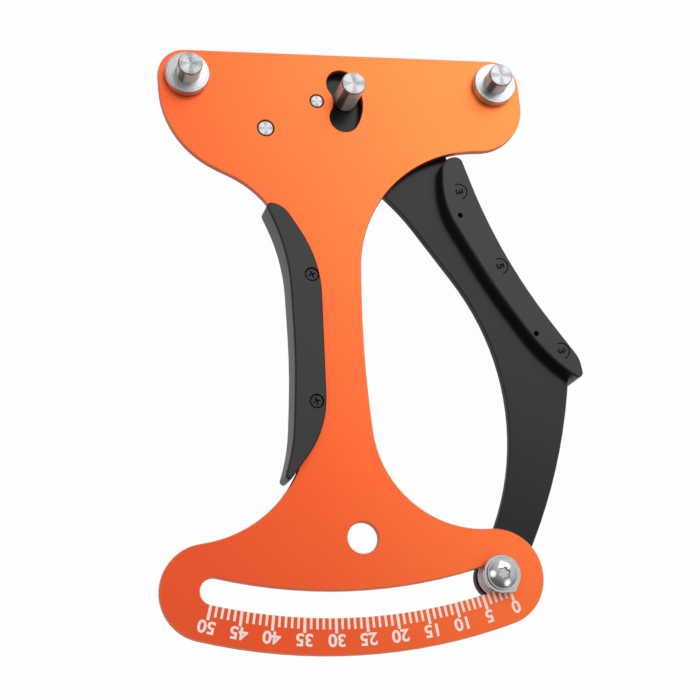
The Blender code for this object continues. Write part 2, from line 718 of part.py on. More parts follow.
def spring_route():
    """Points of the spring's wire: a hook, a straight run, the curls, a run and a hook."""
    span = STUD - ANCHOR
    along = span.normalized()
    across = Vector((-along.y, along.x))
    coil_start = SPRING_COIL_RADIUS + SPRING_HOOK_RUN
    coil_room = span.length - 2 * coil_start
    turns = math.floor(coil_room / SPRING_PITCH) - 0.5
    coil_start = (span.length - turns * SPRING_PITCH) / 2

    def place(distance, sideways, height):
        flat = ANCHOR + along * distance + across * sideways
        return Vector((flat.x, flat.y, SPRING_LEVEL + height))

    steps = SPRING_HOOK_POINTS
    points = []
    for step in range(steps + 1):
        angle = SPRING_HOOK_SWEEP * (1.0 - step / steps)
        points.append(place(
            -SPRING_COIL_RADIUS * math.sin(angle), -SPRING_COIL_RADIUS * math.cos(angle), 0.0))
    coil_points = round(turns * SPRING_POINTS_PER_CURL)
    for step in range(coil_points + 1):
        share = step / coil_points
        angle = math.tau * turns * share
        points.append(place(
            coil_start + turns * SPRING_PITCH * share,
            -SPRING_COIL_RADIUS * math.cos(angle),
            SPRING_COIL_RADIUS * math.sin(angle),
        ))
    for step in range(steps + 1):
        angle = SPRING_HOOK_SWEEP * step / steps
        points.append(place(
            span.length + SPRING_COIL_RADIUS * math.sin(angle),
            SPRING_COIL_RADIUS * math.cos(angle),
            0.0,
        ))
    return points


def least_gap(points, radius):
    """Least gap between stretches of a wire that are not next to each other."""
    window = SPRING_POINTS_PER_CURL // 2
    least = math.inf
    for first in range(len(points)):
        for second in range(first + window, len(points)):
            least = min(least, (points[first] - points[second]).length)
    return least - 2 * radius


def make_spring(assembly, material):
    """The extension spring that brings the lever back, as one unbroken wire."""
    points = spring_route()
    curve = bpy.data.curves.new("return_spring", "CURVE")
    curve.dimensions = "3D"
    curve.bevel_depth = SPRING_WIRE_RADIUS
    curve.bevel_resolution = 1
    curve.use_fill_caps = True
    spline = curve.splines.new("POLY")
    spline.points.add(len(points) - 1)
    for point, place in zip(spline.points, points):
        point.co = (*place, 1.0)
    item = bpy.data.objects.new("return_spring", curve)
    print("least gap of return_spring to itself in metres:", least_gap(points, SPRING_WIRE_RADIUS))
    return assembly.add(item, material)


def make_left_grip(assembly, material):
    """One-piece grip that holds the plate's left waist edge between its two cheeks."""
    front = LEFT_GRIP_FRONT
    back = PLATE_BACK - LEFT_GRIP_BACK
    grip = flat_mesh("left_grip", [left_grip_outline()], front, back, GRIP_ROUNDING, 1)
    assembly.add(grip, material)
    slot = flat_mesh(
        "left_grip_slot", [plate_outline()], CLEARANCE, PLATE_BACK - CLEARANCE, grow=CLEARANCE)
    cut(assembly, grip, slot)
    head_seat = front - GRIP_SCREW_RECESS - GRIP_SCREW_HEAD_HEIGHT - CLEARANCE
    for number, (along, across) in enumerate(LEFT_GRIP_SCREW_SHARES):
        place = left_grip_place(along, across)
        drill(assembly, grip, f"left_grip_seat_{number}", place,
              GRIP_SCREW_HEAD_RADIUS + CLEARANCE, front + CUT_OVERRUN, head_seat)
        drill(assembly, grip, f"left_grip_bore_{number}", place,
              GRIP_SCREW_RADIUS + CLEARANCE, front, back - CUT_OVERRUN)
    return grip


def make_right_grip(assembly, material):
    """One-piece grip that holds the lever's outer edge between its two cheeks."""
    front = ARM_FRONT + RIGHT_GRIP_FRONT
    back = ARM_BACK - RIGHT_GRIP_BACK
    grip = flat_mesh("right_grip", [right_grip_outline()], front, back, GRIP_ROUNDING, 1)
    assembly.add(grip, material, on_lever=True)
    slot = flat_mesh(
        "right_grip_slot", [arm_outline()], ARM_FRONT + CLEARANCE, ARM_BACK - CLEARANCE,
        grow=CLEARANCE)
    cut(assembly, grip, slot)
    head_seat = back + GRIP_SCREW_RECESS + GRIP_SCREW_HEAD_HEIGHT + CLEARANCE
    for number, (along, across) in enumerate(RIGHT_GRIP_SCREW_SHARES):
        place = right_grip_place(along, across)
        drill(assembly, grip, f"right_grip_seat_{number}", place,
              GRIP_SCREW_HEAD_RADIUS + CLEARANCE, head_seat, back - CUT_OVERRUN)
        drill(assembly, grip, f"right_grip_bore_{number}", place,
              RIGHT_GRIP_PILOT_RADIUS, front + CUT_OVERRUN, back)
    return grip


def make_left_grip_screw(assembly, material, name, shares):
    """A screw from the front through the left grip and the plate."""
    head_top = LEFT_GRIP_FRONT - GRIP_SCREW_RECESS
    under_head = head_top - GRIP_SCREW_HEAD_HEIGHT
    tip = PLATE_BACK - LEFT_GRIP_BACK + GRIP_SCREW_TIP_GAP
    profile = [
        (0.0, head_top),
        (GRIP_SCREW_HEAD_RADIUS - EDGE_BREAK, head_top),
        (GRIP_SCREW_HEAD_RADIUS, head_top - EDGE_BREAK),
        (GRIP_SCREW_HEAD_RADIUS, under_head),
        (GRIP_SCREW_RADIUS, under_head),
        (GRIP_SCREW_RADIUS, tip),
        (0.0, tip),
    ]
    screw = turned(name, profile, left_grip_place(*shares), TURN_STEPS // 2)
    return assembly.add(screw, material)


def make_right_grip_screw(assembly, material, name, shares):
    """A screw from behind through the right grip and the lever."""
    head_back = ARM_BACK - RIGHT_GRIP_BACK + GRIP_SCREW_RECESS
    under_head = head_back + GRIP_SCREW_HEAD_HEIGHT
    tip = ARM_FRONT + RIGHT_GRIP_FRONT - GRIP_SCREW_TIP_GAP
    profile = [
        (0.0, tip),
        (GRIP_SCREW_RADIUS, tip),
        (GRIP_SCREW_RADIUS, under_head),
        (GRIP_SCREW_HEAD_RADIUS, under_head),
        (GRIP_SCREW_HEAD_RADIUS, head_back + EDGE_BREAK),
        (GRIP_SCREW_HEAD_RADIUS - EDGE_BREAK, head_back),
        (0.0, head_back),
    ]
    screw = turned(name, profile, right_grip_place(*shares), TURN_STEPS // 2)
    return assembly.add(screw, material, on_lever=True)


def pointer_outline():
    """Washer outline that runs out tangentially to a small round tip."""
    lean = math.radians(270.0) + POINTER_TIP_LEAN
    reach = POINTER_TIP_REACH - POINTER_TIP_RADIUS
    tip = POINTER_AXIS + Vector((math.cos(lean), math.sin(lean))) * reach
    spread = math.acos((POINTER_RADIUS - POINTER_TIP_RADIUS) / reach)
    outline = arc(tip, POINTER_TIP_RADIUS, lean - spread, lean + spread)
    outline += arc(POINTER_AXIS, POINTER_RADIUS, lean + spread, lean - spread + math.tau)
    return outline


def make_pointer(assembly, material):
    """The washer with a tip that reads the scale."""
    hole = circle(POINTER_AXIS, POINTER_HOLE_RADIUS)
    top = POINTER_LIFT + POINTER_THICKNESS
    pointer = flat_curve("pointer", [pointer_outline(), hole], top, POINTER_LIFT)
    return assembly.add(pointer, material, on_lever=True)


def make_pointer_bushing(assembly, material):
    """Sleeve that runs in the scale slot and carries the pointer above the plate."""
    radius = SCALE_SLOT_WIDTH / 2 - CLEARANCE
    top = POINTER_LIFT - CLEARANCE
    bottom = PLATE_BACK
    profile = [
        (POINTER_HOLE_RADIUS, top),
        (radius, top),
        (radius, bottom),
        (POINTER_HOLE_RADIUS, bottom),
    ]
    return assembly.add(turned("pointer_bushing", profile, POINTER_AXIS), material, on_lever=True)


def make_pointer_spacer(assembly, material):
    """Washer between the plate's back and the lever."""
    top = PLATE_BACK - CLEARANCE
    bottom = ARM_FRONT + CLEARANCE
    profile = [
        (POINTER_HOLE_RADIUS, top),
        (SPACER_RADIUS, top),
        (SPACER_RADIUS, bottom),
        (POINTER_HOLE_RADIUS, bottom),
    ]
    return assembly.add(turned("pointer_spacer", profile, POINTER_AXIS), material, on_lever=True)


def make_pointer_screw(assembly, material):
    """Round-headed screw with a lobed recess that clamps the pointer to the lever."""
    under_head = POINTER_LIFT + POINTER_THICKNESS + CLEARANCE
    head_top = under_head + POINTER_HEAD_HEIGHT
    tip = ARM_BACK - CLEARANCE - NUT_THICKNESS - SCREW_TIP_LENGTH
    rim = under_head + POINTER_HEAD_RIM
    dome_height = head_top - rim
    profile = []
    for step in range(POINTER_DOME_STEPS + 1):
        angle = math.radians(90.0) * step / POINTER_DOME_STEPS
        profile.append((POINTER_HEAD_RADIUS * math.sin(angle), rim + dome_height * math.cos(angle)))
    profile += [
        (POINTER_HEAD_RADIUS, under_head),
        (POINTER_SCREW_RADIUS, under_head),
        (POINTER_SCREW_RADIUS, tip),
        (0.0, tip),
    ]
    screw = turned("pointer_screw", profile, POINTER_AXIS)
    assembly.add(screw, material, on_lever=True)
    recess = []
    for step in range(POINTER_RECESS_STEPS):
        angle = math.tau * step / POINTER_RECESS_STEPS
        radius = POINTER_RECESS_RADIUS + POINTER_RECESS_WAVE * math.cos(POINTER_RECESS_LOBES * angle)
        recess.append(POINTER_AXIS + Vector((math.cos(angle), math.sin(angle))) * radius)
    cutter = flat_mesh(
        "pointer_recess", [recess], head_top + CUT_OVERRUN, head_top - POINTER_RECESS_DEPTH)
    cut(assembly, screw, cutter)
    return screw


def make_pointer_nut(assembly, material):
    """Hexagon nut behind the lever."""
    top = ARM_BACK - CLEARANCE
    angles = [math.tau * side / NUT_SIDES for side in range(NUT_SIDES)]
    outline = [POINTER_AXIS + Vector((math.cos(a), math.sin(a))) * NUT_RADIUS for a in angles]
    hole = circle(POINTER_AXIS, POINTER_SCREW_RADIUS + CLEARANCE)
    nut = flat_curve("pointer_nut", [outline, hole], top, top - NUT_THICKNESS)
    return assembly.add(nut, material, on_lever=True)


def set_on_floor(assembly):
    """Move the root so that the tool stands on the floor, centred over the origin."""
    bpy.context.view_layer.update()
    graph = bpy.context.evaluated_depsgraph_get()
    low = Vector((math.inf, math.inf, math.inf))
    high = -low
    for item in assembly.parts.objects:
        if item.type == "EMPTY":
            continue
        evaluated = item.evaluated_get(graph)
        mesh = evaluated.to_mesh()
        for vertex in mesh.vertices:
            place = item.matrix_world @ vertex.co
            low = Vector(map(min, low, place))
            high = Vector(map(max, high, place))
        evaluated.to_mesh_clear()
    middle = (low + high) / 2
    assembly.root.location = (-middle.x, -middle.y, -low.z)
    bpy.context.view_layer.update()
    print("pivot axis in metres:", tuple(round(value, 6) for value in assembly.root.location))


def smooth_shading(assembly):
    """Shade round faces smooth and keep true edges sharp."""
    for item in assembly.parts.objects:
        if item.type == "MESH":
            item.data.shade_smooth()
            item.data.set_sharp_from_angle(angle=math.radians(35.0))


def main():
    """Make every piece and set the tool on the floor."""
    clear_scene()
    assembly = Assembly()
    orange = make_material("orange_anodised", (0.90, 0.20, 0.045), 0.42, 0.35)
    turned_steel = make_material("turned_steel", (0.82, 0.82, 0.82), 0.22, 1.0)
    plated_steel = make_material("plated_steel", (0.62, 0.62, 0.60), 0.30, 1.0)
    black_coat = make_material("black_coat", (0.045, 0.045, 0.047), 0.48, 0.0)
    black_plastic = make_material("black_plastic", (0.040, 0.040, 0.041), 0.58, 0.0)
    black_screw = make_material("black_screw", (0.020, 0.020, 0.022), 0.35, 0.6)
    bronze = make_material("bronze", (0.55, 0.36, 0.16), 0.40, 1.0)

    make_plate(assembly, orange)
    make_fixed_post(assembly, turned_steel, "fixed_post_left", POST_LEFT)
    make_fixed_post(assembly, turned_steel, "fixed_post_right", POST_RIGHT)
    make_post_screw(assembly, plated_steel, "fixed_post_screw_left", POST_LEFT, PLATE_BACK)
    make_post_screw(assembly, plated_steel, "fixed_post_screw_right", POST_RIGHT, PLATE_BACK)
    make_left_grip(assembly, black_plastic)
    for end, shares in zip(("upper", "lower"), LEFT_GRIP_SCREW_SHARES):
        make_left_grip_screw(assembly, black_screw, f"left_grip_screw_{end}", shares)
    make_pivot_pin(assembly, turned_steel)
    make_spring_anchor(assembly, turned_steel)
    make_spring(assembly, plated_steel)

    make_arm(assembly, black_coat)
    make_middle_post(assembly, turned_steel)
    make_post_screw(assembly, plated_steel, "moving_post_screw", MIDDLE_POST, ARM_BACK, on_lever=True)
    make_pivot_bushing(assembly, bronze)
    make_pivot_washer(assembly, plated_steel)
    make_spring_stud(assembly, turned_steel)
    make_right_grip(assembly, black_plastic)
    for end, shares in zip(("upper", "lower"), RIGHT_GRIP_SCREW_SHARES):
        make_right_grip_screw(assembly, black_screw, f"right_grip_screw_{end}", shares)
    make_pointer_spacer(assembly, plated_steel)
    make_pointer_bushing(assembly, plated_steel)
    make_pointer(assembly, plated_steel)
    make_pointer_screw(assembly, plated_steel)
    make_pointer_nut(assembly, plated_steel)

    smooth_shading(assembly)
    set_on_floor(assembly)


main()
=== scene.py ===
"""Looks of a spoke tension meter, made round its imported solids.

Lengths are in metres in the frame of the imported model: +Z points out of the printed face
and -Y from the lever's pivot to the scale. Round pieces are profiles carried about an
axis, the right grip is a pierced block, the print is flat slabs on the plate, and the
plate, the arm and the left grip are merged copies of their solids.
"""

import json
import logging
import math
from dataclasses import dataclass, field
from enum import Enum
from typing import Callable, Sequence, Union

import bmesh
import bpy
import numpy as np
from mathutils import Matrix, Vector


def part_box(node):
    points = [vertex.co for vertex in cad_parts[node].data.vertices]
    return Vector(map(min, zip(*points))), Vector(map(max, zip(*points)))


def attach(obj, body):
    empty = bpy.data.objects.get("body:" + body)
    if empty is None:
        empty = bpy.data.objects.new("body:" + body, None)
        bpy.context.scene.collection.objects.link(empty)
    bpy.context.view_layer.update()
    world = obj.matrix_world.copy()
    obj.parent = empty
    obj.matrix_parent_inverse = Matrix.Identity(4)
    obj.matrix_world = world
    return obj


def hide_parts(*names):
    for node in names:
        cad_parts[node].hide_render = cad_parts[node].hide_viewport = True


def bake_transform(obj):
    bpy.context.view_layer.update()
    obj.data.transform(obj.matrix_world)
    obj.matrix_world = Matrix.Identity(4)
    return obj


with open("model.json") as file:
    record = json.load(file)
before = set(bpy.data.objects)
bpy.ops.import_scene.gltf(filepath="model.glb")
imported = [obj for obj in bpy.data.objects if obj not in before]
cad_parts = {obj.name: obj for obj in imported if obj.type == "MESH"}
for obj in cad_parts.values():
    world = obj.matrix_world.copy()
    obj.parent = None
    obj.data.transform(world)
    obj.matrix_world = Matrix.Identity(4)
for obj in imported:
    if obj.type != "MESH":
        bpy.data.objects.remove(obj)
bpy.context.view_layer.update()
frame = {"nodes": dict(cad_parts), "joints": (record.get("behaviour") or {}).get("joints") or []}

MERGE_DISTANCE = 0.0000005
LEAST_EDGE = 0.000005
SHARP_ANGLE = math.radians(32.0)
COLUMNS = 96
ROUND_STEPS = 5
CORNER_STEPS = 12
QUARTER_TURN = math.pi / 2
WALL_RISE = (0.20, 0.60)
EDGE_RISE = (0.80, 0.97)

log = logging.getLogger("tension_meter")

Colour = tuple[float, float, float]
Range = tuple[float, ...]
Number = Union["Value", float]
Row = tuple[Union[float, np.ndarray], Union[float, np.ndarray]]


class Body(Enum):
    """The two bodies of the tool."""

    FRAME = "frame"
    LEVER = "lever"


class Slot(Enum):
    """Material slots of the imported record."""

    ORANGE = "orange_anodised"
    TURNED = "turned_steel"
    PLATED = "plated_steel"
    COAT = "black_coat"
    PLASTIC = "black_plastic"
    SCREW = "black_screw"
    BRONZE = "bronze"


def operator(operation: str, reflected: bool = False) -> Callable[["Value", Number], "Value"]:
    """Make an operator of Value that adds a Math node.

    Args:
        operation: The node's operation.
        reflected: Whether the other number comes first.

    Returns:
        The operator.
    """
    def apply(value: "Value", other: Number) -> "Value":
        """Return the node's result."""
        first, second = (other, value) if reflected else (value, other)
        return value.graph.value("ShaderNodeMath", {"operation": operation}, {0: first, 1: second})
    return apply


class Value:
    """A number in a shader; Python sums on it add Math nodes."""

    __add__ = operator("ADD")
    __radd__ = operator("ADD", reflected=True)
    __sub__ = operator("SUBTRACT")
    __rsub__ = operator("SUBTRACT", reflected=True)
    __mul__ = operator("MULTIPLY")
    __rmul__ = operator("MULTIPLY", reflected=True)

    def __init__(self, graph: "Graph", socket: bpy.types.NodeSocket) -> None:
        """Wrap a socket of a graph."""
        self.graph = graph
        self.socket = socket

    def __abs__(self) -> "Value":
        """Return the size without the sign."""
        return operator("ABSOLUTE")(self, 0.0)

    def cosine(self) -> "Value":
        """Return the cosine."""
        return operator("COSINE")(self, 0.0)

    def step(self, rise: Range) -> "Value":
        """Rise smoothly from 0 to 1.

        Args:
            rise: Where the rise starts and where it ends.

        Returns:
            The smooth step of this number.
        """
        return self.graph.value(
            "ShaderNodeMapRange",
            {"interpolation_type": "SMOOTHSTEP"},
            {"Value": self, "From Min": rise[0], "From Max": rise[1]},
        )


class Graph:
    """The nodes of a material or of the world, made one call at a time."""

    def __init__(self, owner: Union[bpy.types.Material, bpy.types.World]) -> None:
        """Start with no nodes.

        Args:
            owner: The new material or world.
        """
        owner.use_nodes = True
        self.owner = owner
        self.tree = owner.node_tree
        self.tree.nodes.clear()

    def node(self, kind: str, settings: dict, inputs: dict) -> bpy.types.Node:
        """Add a node.

        Args:
            kind: The node's type.
            settings: Its settings, which are set first.
            inputs: Values or links of its sockets, by name or number; a node links by its
                first result.

        Returns:
            The node.
        """
        node = self.tree.nodes.new(kind)
        for name, setting in settings.items():
            setattr(node, name, setting)
        for name, given in inputs.items():
            if isinstance(given, Value):
                given = given.socket
            elif isinstance(given, bpy.types.Node):
                given = given.outputs[0]
            if isinstance(given, bpy.types.NodeSocket):
                self.tree.links.new(given, node.inputs[name])
            else:
                node.inputs[name].default_value = given
        return node

    def value(self, kind: str, settings: dict, inputs: dict, output: Union[int, str] = 0) -> Value:
        """Add a node and wrap one of its results as a number."""
        return Value(self, self.node(kind, settings, inputs).outputs[output])

    def coordinates(self) -> bpy.types.NodeSocket:
        """Return the object's own coordinates, in metres."""
        return self.node("ShaderNodeTexCoord", {}, {}).outputs["Object"]

    def noise(self, place: bpy.types.NodeSocket, scale: float, detail: float = 2.0) -> Value:
        """Return a soft noise from 0 to 1.

        Args:
            place: The coordinates.
            scale: How many blotches there are to a metre.
            detail: How many finer layers it holds.

        Returns:
            The noise.
        """
        inputs = {"Vector": place, "Scale": scale, "Detail": detail}
        return self.value("ShaderNodeTexNoise", {}, inputs, "Fac")

    def dot(self, place: bpy.types.NodeSocket, along: Colour) -> Value:
        """Return the dot product of a vector and a fixed one."""
        settings = {"operation": "DOT_PRODUCT"}
        return self.value("ShaderNodeVectorMath", settings, {0: place, 1: along}, "Value")

    def mix(
        self,
        factor: Number,
        first: Union[Colour, bpy.types.NodeSocket],
        second: Union[Colour, bpy.types.NodeSocket],
    ) -> bpy.types.NodeSocket:
        """Blend two colours.

        Args:
            factor: How much of the second shows, from 0 to 1.
            first: The colour at 0.
            second: The colour at 1.

        Returns:
            The blend.
        """
        pair = [(*given, 1.0) if isinstance(given, tuple) else given for given in (first, second)]
        colours = {0: factor, 6: pair[0], 7: pair[1]}
        return self.node("ShaderNodeMix", {"data_type": "RGBA"}, colours).outputs[2]

    def flatness(self) -> Value:
        """Return 1 on faces that look up or down and 0 on upright ones."""
        normal = self.node("ShaderNodeNewGeometry", {}, {}).outputs["True Normal"]
        return abs(self.value("ShaderNodeSeparateXYZ", {}, {0: normal}, "Z"))

    def rays(self, *kinds: str) -> Value:
        """Return 1 on rays of these kinds and 0 on others."""
        path = self.node("ShaderNodeLightPath", {}, {})
        return sum(Value(self, path.outputs[f"Is {kind} Ray"]) for kind in kinds)

    def bump(self, height: Value, distance: float) -> bpy.types.NodeSocket:
        """Turn a height from 0 to 1 into a normal, where 1 is a distance in metres."""
        inputs = {"Height": height, "Distance": distance, "Strength": 1.0}
        return self.node("ShaderNodeBump", {}, inputs).outputs["Normal"]

    def surface(self, inputs: dict) -> bpy.types.Material:
        """End the material with a Principled shader.

        Args:
            inputs: Values or links of the shader's sockets.

        Returns:
            The finished material.
        """
        shader = self.node("ShaderNodeBsdfPrincipled", {}, inputs)
        self.node("ShaderNodeOutputMaterial", {}, {"Surface": shader})
        return self.owner


@dataclass(frozen=True)
class Finish:
    """A mottled surface: one colour blotched with another, over a fine grain.

    The second colour comes in as the blotches' noise passes through a range, or evenly
    with it where there is no range. Blotches without a scale are the grain itself.
    """

    name: str
    colour: Colour
    second_colour: Colour
    roughness: float
    roughness_share: float
    grain_scale: float
    grain_depth: float
    grain_detail: float = 3.0
    blotch_scale: float = 0.0
    blotch_detail: float = 2.0
    blotch_rise: Range = ()
    rough_blotches: bool = False
    metallic: float = 0.0
    specular: float = 0.5

    def base(self, blotch: Value) -> bpy.types.NodeSocket:
        """Return the colour."""
        share = blotch.step(self.blotch_rise) if self.blotch_rise else blotch
        return blotch.graph.mix(share, self.colour, self.second_colour)

    def rough(self, noise: Value) -> Value:
        """Return the roughness: its middle plus its share times the noise less a half."""
        return noise * self.roughness_share + (self.roughness - self.roughness_share / 2)

    def relief(self, grain: Value) -> Value:
        """Return the grain's height."""
        return grain

    def build(self) -> bpy.types.Material:
        """Return the material."""
        graph = Graph(bpy.data.materials.new(self.name))
        place = graph.coordinates()
        grain = blotch = graph.noise(place, self.grain_scale, self.grain_detail)
        if self.blotch_scale:
            blotch = graph.noise(place, self.blotch_scale, self.blotch_detail)
        return graph.surface({
            "Base Color": self.base(blotch),
            "Metallic": self.metallic,
            "Roughness": self.rough(blotch if self.rough_blotches else grain),
            "Specular IOR Level": self.specular,
            "Normal": graph.bump(self.relief(grain), self.grain_depth),
        })


@dataclass(frozen=True)
class Anodised(Finish):
    """Satin dyed aluminium with a blasted grain, with painted light in its colour: a painted light
    falloff from a pale orange end to a deep red end, a painted highlight on edges and painted
    shade on the cut sides.
    """

    name: str = "orange_anodised_finish"
    # The pale orange end of the painted light falloff.
    colour: Colour = (0.97, 0.212, 0.047)
    # The deep red end of the painted light falloff.
    second_colour: Colour = (0.86, 0.098, 0.026)
    # Painted shade: the cut sides are painted darker.
    side_colour: Colour = (0.40, 0.080, 0.036)
    # A painted highlight on the chamfered edges.
    worn_colour: Colour = (0.90, 0.34, 0.18)
    worn_share: float = 0.55
    # Painted light falloff: the colour goes from the deep red end to the pale orange end along
    # this direction.
    fade: Colour = (6.67, 2.33, 0.0)
    fade_middle: float = 0.47
    fade_rise: Range = (-0.15, 1.15)
    cloud_share: float = 0.12
    blotch_scale: float = 38.0
    grain_scale: float = 5200.0
    grain_detail: float = 2.0
    grain_depth: float = 0.000006
    metallic: float = 0.80
    roughness: float = 0.42
    roughness_share: float = 0.14

    def base(self, blotch: Value) -> bpy.types.NodeSocket:
        """Return the colour: a painted light falloff across the plate, a painted highlight on
        edges and painted shade on walls.
        """
        graph = blotch.graph
        flat = graph.flatness()
        cloud = (blotch - 0.5) * self.cloud_share
        # Painted light: the share of the pale end grows along the falloff direction, with a little
        # blotch noise.
        painted_light_share = graph.dot(graph.coordinates(), self.fade) + cloud + self.fade_middle
        painted_light_dye = graph.mix(painted_light_share.step(self.fade_rise), self.second_colour, self.colour)
        # Painted highlight: edges between level and upright faces are mixed towards a paler
        # colour.
        rim_highlight = (1.0 - flat.step(EDGE_RISE)) * self.worn_share
        rim_lit = graph.mix(rim_highlight, painted_light_dye, self.worn_colour)
        # Painted shade: upright faces are mixed towards the dark painted side colour.
        return graph.mix(1.0 - flat.step(WALL_RISE), rim_lit, self.side_colour)


@dataclass(frozen=True)
class PlatedSteel(Finish):
    """Plated steel: a light even metal with faint stains and a fine pitting."""

    name: str = "plated_steel_finish"
    colour: Colour = (0.60, 0.60, 0.61)
    second_colour: Colour = (0.52, 0.52, 0.52)
    blotch_scale: float = 420.0
    blotch_detail: float = 4.0
    blotch_rise: Range = (0.35, 0.75)
    rough_blotches: bool = True
    grain_scale: float = 4000.0
    grain_detail: float = 2.0
    grain_depth: float = 0.000004
    metallic: float = 1.0
    roughness: float = 0.19
    roughness_share: float = 0.12


@dataclass(frozen=True)
class DullSleeve(PlatedSteel):
    """The dull grey of the sleeve and the washer under the pointer."""

    name: str = "dull_sleeve_finish"
    colour: Colour = (0.92, 0.82, 0.87)
    second_colour: Colour = (0.80, 0.72, 0.76)
    metallic: float = 0.05
    roughness: float = 0.48


@dataclass(frozen=True)
class BlackCoat(Finish):
    """Sprayed black coat with a slight orange peel, and a painted highlight on edges."""

    name: str = "black_coat_finish"
    colour: Colour = (0.008, 0.008, 0.008)
    second_colour: Colour = (0.011, 0.011, 0.011)
    # A painted highlight on edges.
    edge_colour: Colour = (0.016, 0.016, 0.016)
    edge_share: float = 0.6
    blotch_scale: float = 60.0
    grain_scale: float = 1500.0
    grain_detail: float = 2.0
    grain_depth: float = 0.000010
    roughness: float = 0.25
    roughness_share: float = 0.12
    wall_roughness: float = 0.30
    specular: float = 0.24

    def base(self, blotch: Value) -> bpy.types.NodeSocket:
        """Return the colour, with a painted highlight where a face is between level and upright.
        """
        flat = blotch.graph.flatness()
        # Painted highlight: faces between level and upright are mixed towards a lighter colour.
        edge = (1.0 - flat.step(EDGE_RISE)) * flat.step(WALL_RISE) * self.edge_share
        return blotch.graph.mix(edge, super().base(blotch), self.edge_colour)

    def rough(self, noise: Value) -> Value:
        """Return the roughness, which is higher on walls."""
        return super().rough(noise) + (1.0 - noise.graph.flatness()) * self.wall_roughness


@dataclass(frozen=True)
class MouldedPlastic(Finish):
    """Matte moulded plastic with a fine spark-eroded grain."""

    name: str = "black_plastic_finish"
    colour: Colour = (0.010, 0.010, 0.010)
    second_colour: Colour = (0.014, 0.014, 0.014)
    blotch_scale: float = 90.0
    grain_scale: float = 3600.0
    grain_depth: float = 0.000012
    roughness: float = 0.48
    roughness_share: float = 0.16
    specular: float = 0.48


@dataclass(frozen=True)
class MouldMarkPlastic(MouldedPlastic):
    """The smoother plastic of the moulder's marks, painted darker as the shade of an engraved
    line.
    """

    name: str = "mould_mark_shade_finish"
    # Painted shade: a darker colour for the shade in the marks' engraved lines.
    colour: Colour = (0.003, 0.003, 0.003)
    second_colour: Colour = (0.006, 0.006, 0.006)
    roughness: float = 0.70
    specular: float = 0.12


@dataclass(frozen=True)
class BlackenedSteel(Finish):
    """Oiled black steel of the small screws, rubbed brighter where a driver has been."""

    name: str = "black_screw_finish"
    colour: Colour = (0.018, 0.018, 0.020)
    second_colour: Colour = (0.09, 0.09, 0.09)
    blotch_rise: Range = (0.52, 0.72)
    grain_scale: float = 1600.0
    grain_depth: float = 0.000008
    metallic: float = 0.5
    roughness: float = 0.34
    roughness_share: float = 0.2


@dataclass(frozen=True)
class SinteredBronze(Finish):
    """Porous bronze: dark pores in a dull yellow metal."""

    name: str = "bronze_finish"
    colour: Colour = (0.55, 0.36, 0.16)
    second_colour: Colour = (0.18, 0.11, 0.05)
    blotch_rise: Range = (0.55, 0.72)
    pore_rise: Range = (0.5, 0.8)
    grain_scale: float = 3800.0
    grain_depth: float = 0.00001
    metallic: float = 0.9
    roughness: float = 0.42
    roughness_share: float = 0.2

    def relief(self, grain: Value) -> Value:
        """Return the height, which falls in the pores."""
        return 1.0 - grain.step(self.pore_rise)


@dataclass(frozen=True)
class PrintedInk(Finish):
    """Thin screen print that lets a little of the plate's colour through."""

    name: str = "white_ink_finish"
    colour: Colour = (1.0, 0.87, 0.81)
    second_colour: Colour = (0.98, 0.80, 0.72)
    blotch_rise: Range = (0.4, 0.8)
    grain_scale: float = 1400.0
    grain_depth: float = 0.000004
    roughness: float = 0.55
    roughness_share: float = 0.1


